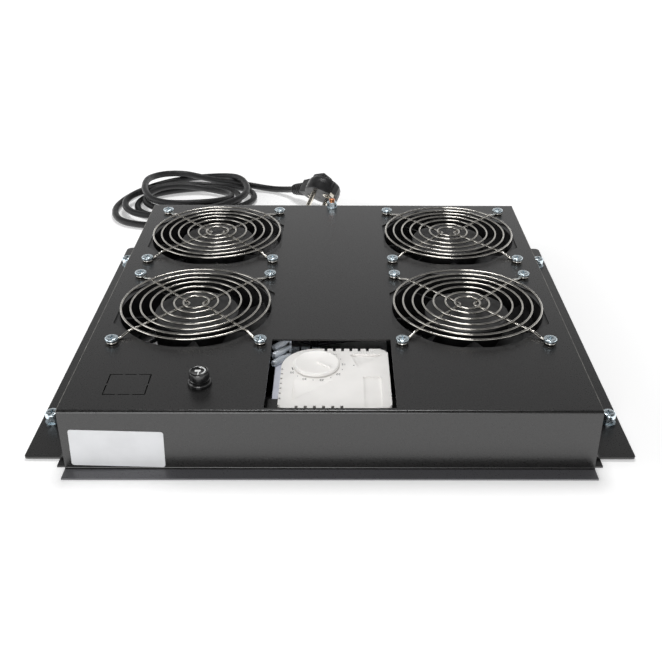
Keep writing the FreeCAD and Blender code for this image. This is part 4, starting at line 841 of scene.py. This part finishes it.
def lay_floor():
    """Diffuse paper that keeps the shadows, lifted to white for the camera, for mirrors and
    through clear plastic."""
    mirror_lift = 3.8
    near_lift = 0.36
    near = 0.45
    far = 1.2
    floor_data = mesh_from(lambda shape: add_block(shape, -4000, 4000, -3000, 5000, -2, 0))
    floor = bpy.data.objects.new("floor", floor_data)
    bpy.context.scene.collection.objects.link(floor)
    material = bpy.data.materials.new("white_paper_floor")
    material.use_nodes = True
    tree = material.node_tree
    tree.nodes.clear()
    paper = add_node(tree, "ShaderNodeBsdfDiffuse", {}, {"Color": linear("#e6e6e6")})
    path = add_node(tree, "ShaderNodeLightPath")
    mirrored = add_node(tree, "ShaderNodeMath", {"operation": "MULTIPLY"},
                        {0: path.outputs["Is Glossy Ray"], 1: mirror_lift})
    direct = add_node(tree, "ShaderNodeMath", {"operation": "MAXIMUM"},
                      {0: path.outputs["Is Camera Ray"], 1: mirrored.outputs[0]})
    seen = add_node(tree, "ShaderNodeMath", {"operation": "MAXIMUM"},
                    {0: direct.outputs[0], 1: path.outputs["Is Transmission Ray"]})

    # The lift stops inside the tray's walls, and grows to a full white sweep away from it
    plate_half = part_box("tray_chassis")[1][0]
    place = add_node(tree, "ShaderNodeTexCoord")
    axes = add_node(tree, "ShaderNodeSeparateXYZ", {}, {"Vector": place.outputs["Object"]})
    reach_x = add_node(tree, "ShaderNodeMath", {"operation": "ABSOLUTE"}, {0: axes.outputs["X"]})
    reach_y = add_node(tree, "ShaderNodeMath", {"operation": "ABSOLUTE"}, {0: axes.outputs["Y"]})
    reach = add_node(tree, "ShaderNodeMath", {"operation": "MAXIMUM"},
                     {0: reach_x.outputs[0], 1: reach_y.outputs[0]})
    outside = add_node(tree, "ShaderNodeMath", {"operation": "GREATER_THAN"},
                       {0: reach.outputs[0], 1: plate_half - 1 * MM})
    away = add_node(tree, "ShaderNodeMapRange", {}, {
        "Value": reach.outputs[0],
        "From Min": near, "From Max": far, "To Min": near_lift, "To Max": 1.0,
    })
    spread = add_node(tree, "ShaderNodeMath", {"operation": "MULTIPLY"},
                      {0: outside.outputs[0], 1: away.outputs["Result"]})
    lift = add_node(tree, "ShaderNodeMath", {"operation": "MULTIPLY"},
                    {0: seen.outputs[0], 1: spread.outputs[0]})
    glow = add_node(tree, "ShaderNodeEmission", {}, {"Color": WHITE, "Strength": lift.outputs[0]})
    both = add_node(tree, "ShaderNodeAddShader", {}, {0: paper.outputs[0], 1: glow.outputs[0]})
    add_node(tree, "ShaderNodeOutputMaterial", {}, {"Surface": both.outputs[0]})
    floor_data.materials.append(material)


def fill_world():
    """White to the camera; as light it is bright low down, like a paper sweep, and dimmer
    overhead."""
    sweep_end = 0.30
    dim_start = 0.66
    overhead = 0.08
    world = bpy.data.worlds.new("studio")
    bpy.context.scene.world = world
    world.use_nodes = True
    tree = world.node_tree
    tree.nodes.clear()
    path = add_node(tree, "ShaderNodeLightPath")
    seen = add_node(tree, "ShaderNodeMath", {"operation": "MAXIMUM"},
                    {0: path.outputs["Is Camera Ray"], 1: path.outputs["Is Transmission Ray"]})
    place = add_node(tree, "ShaderNodeTexCoord")
    axes = add_node(tree, "ShaderNodeSeparateXYZ", {}, {"Vector": place.outputs["Generated"]})
    sweep = add_node(tree, "ShaderNodeMapRange", {}, {
        "Value": axes.outputs["Z"],
        "From Min": sweep_end, "From Max": dim_start, "To Min": 1.0, "To Max": overhead,
    })
    strength = add_node(tree, "ShaderNodeMath", {"operation": "MAXIMUM"},
                        {0: seen.outputs[0], 1: sweep.outputs["Result"]})
    sky = add_node(tree, "ShaderNodeBackground", {},
                   {"Color": WHITE, "Strength": strength.outputs[0]})
    add_node(tree, "ShaderNodeOutputWorld", {}, {"Surface": sky.outputs[0]})


def add_softbox(name, place, target, width, power):
    """A square lamp at place that faces target."""
    data = bpy.data.lights.new(name, "AREA")
    data.shape = "SQUARE"
    data.size = width
    data.energy = power
    lamp = bpy.data.objects.new(name, data)
    lamp.location = place
    lamp.rotation_euler = (target - place).to_track_quat("-Z", "Y").to_euler()
    bpy.context.scene.collection.objects.link(lamp)


# ---------------------------------------------------------------- the whole tray
bpy.context.scene.view_settings.view_transform = "Standard"
set_camera()
finishes = make_finishes()
dress_nodes(finishes)
moulded_plug(finishes)
plug_relief(finishes)
mains_cord(finishes)
thermostat_cover(finishes)
thermostat_dial(finishes)
thermostat_scale(finishes)
terminal_sleeves(finishes)
retaining_tab(finishes)
rating_label(finishes)
fuse_holder(finishes)
lay_floor()
fill_world()
for name, (place, target, width, power) in SOFTBOXES.items():
    add_softbox(name, mm(*place), mm(*target), width, power)
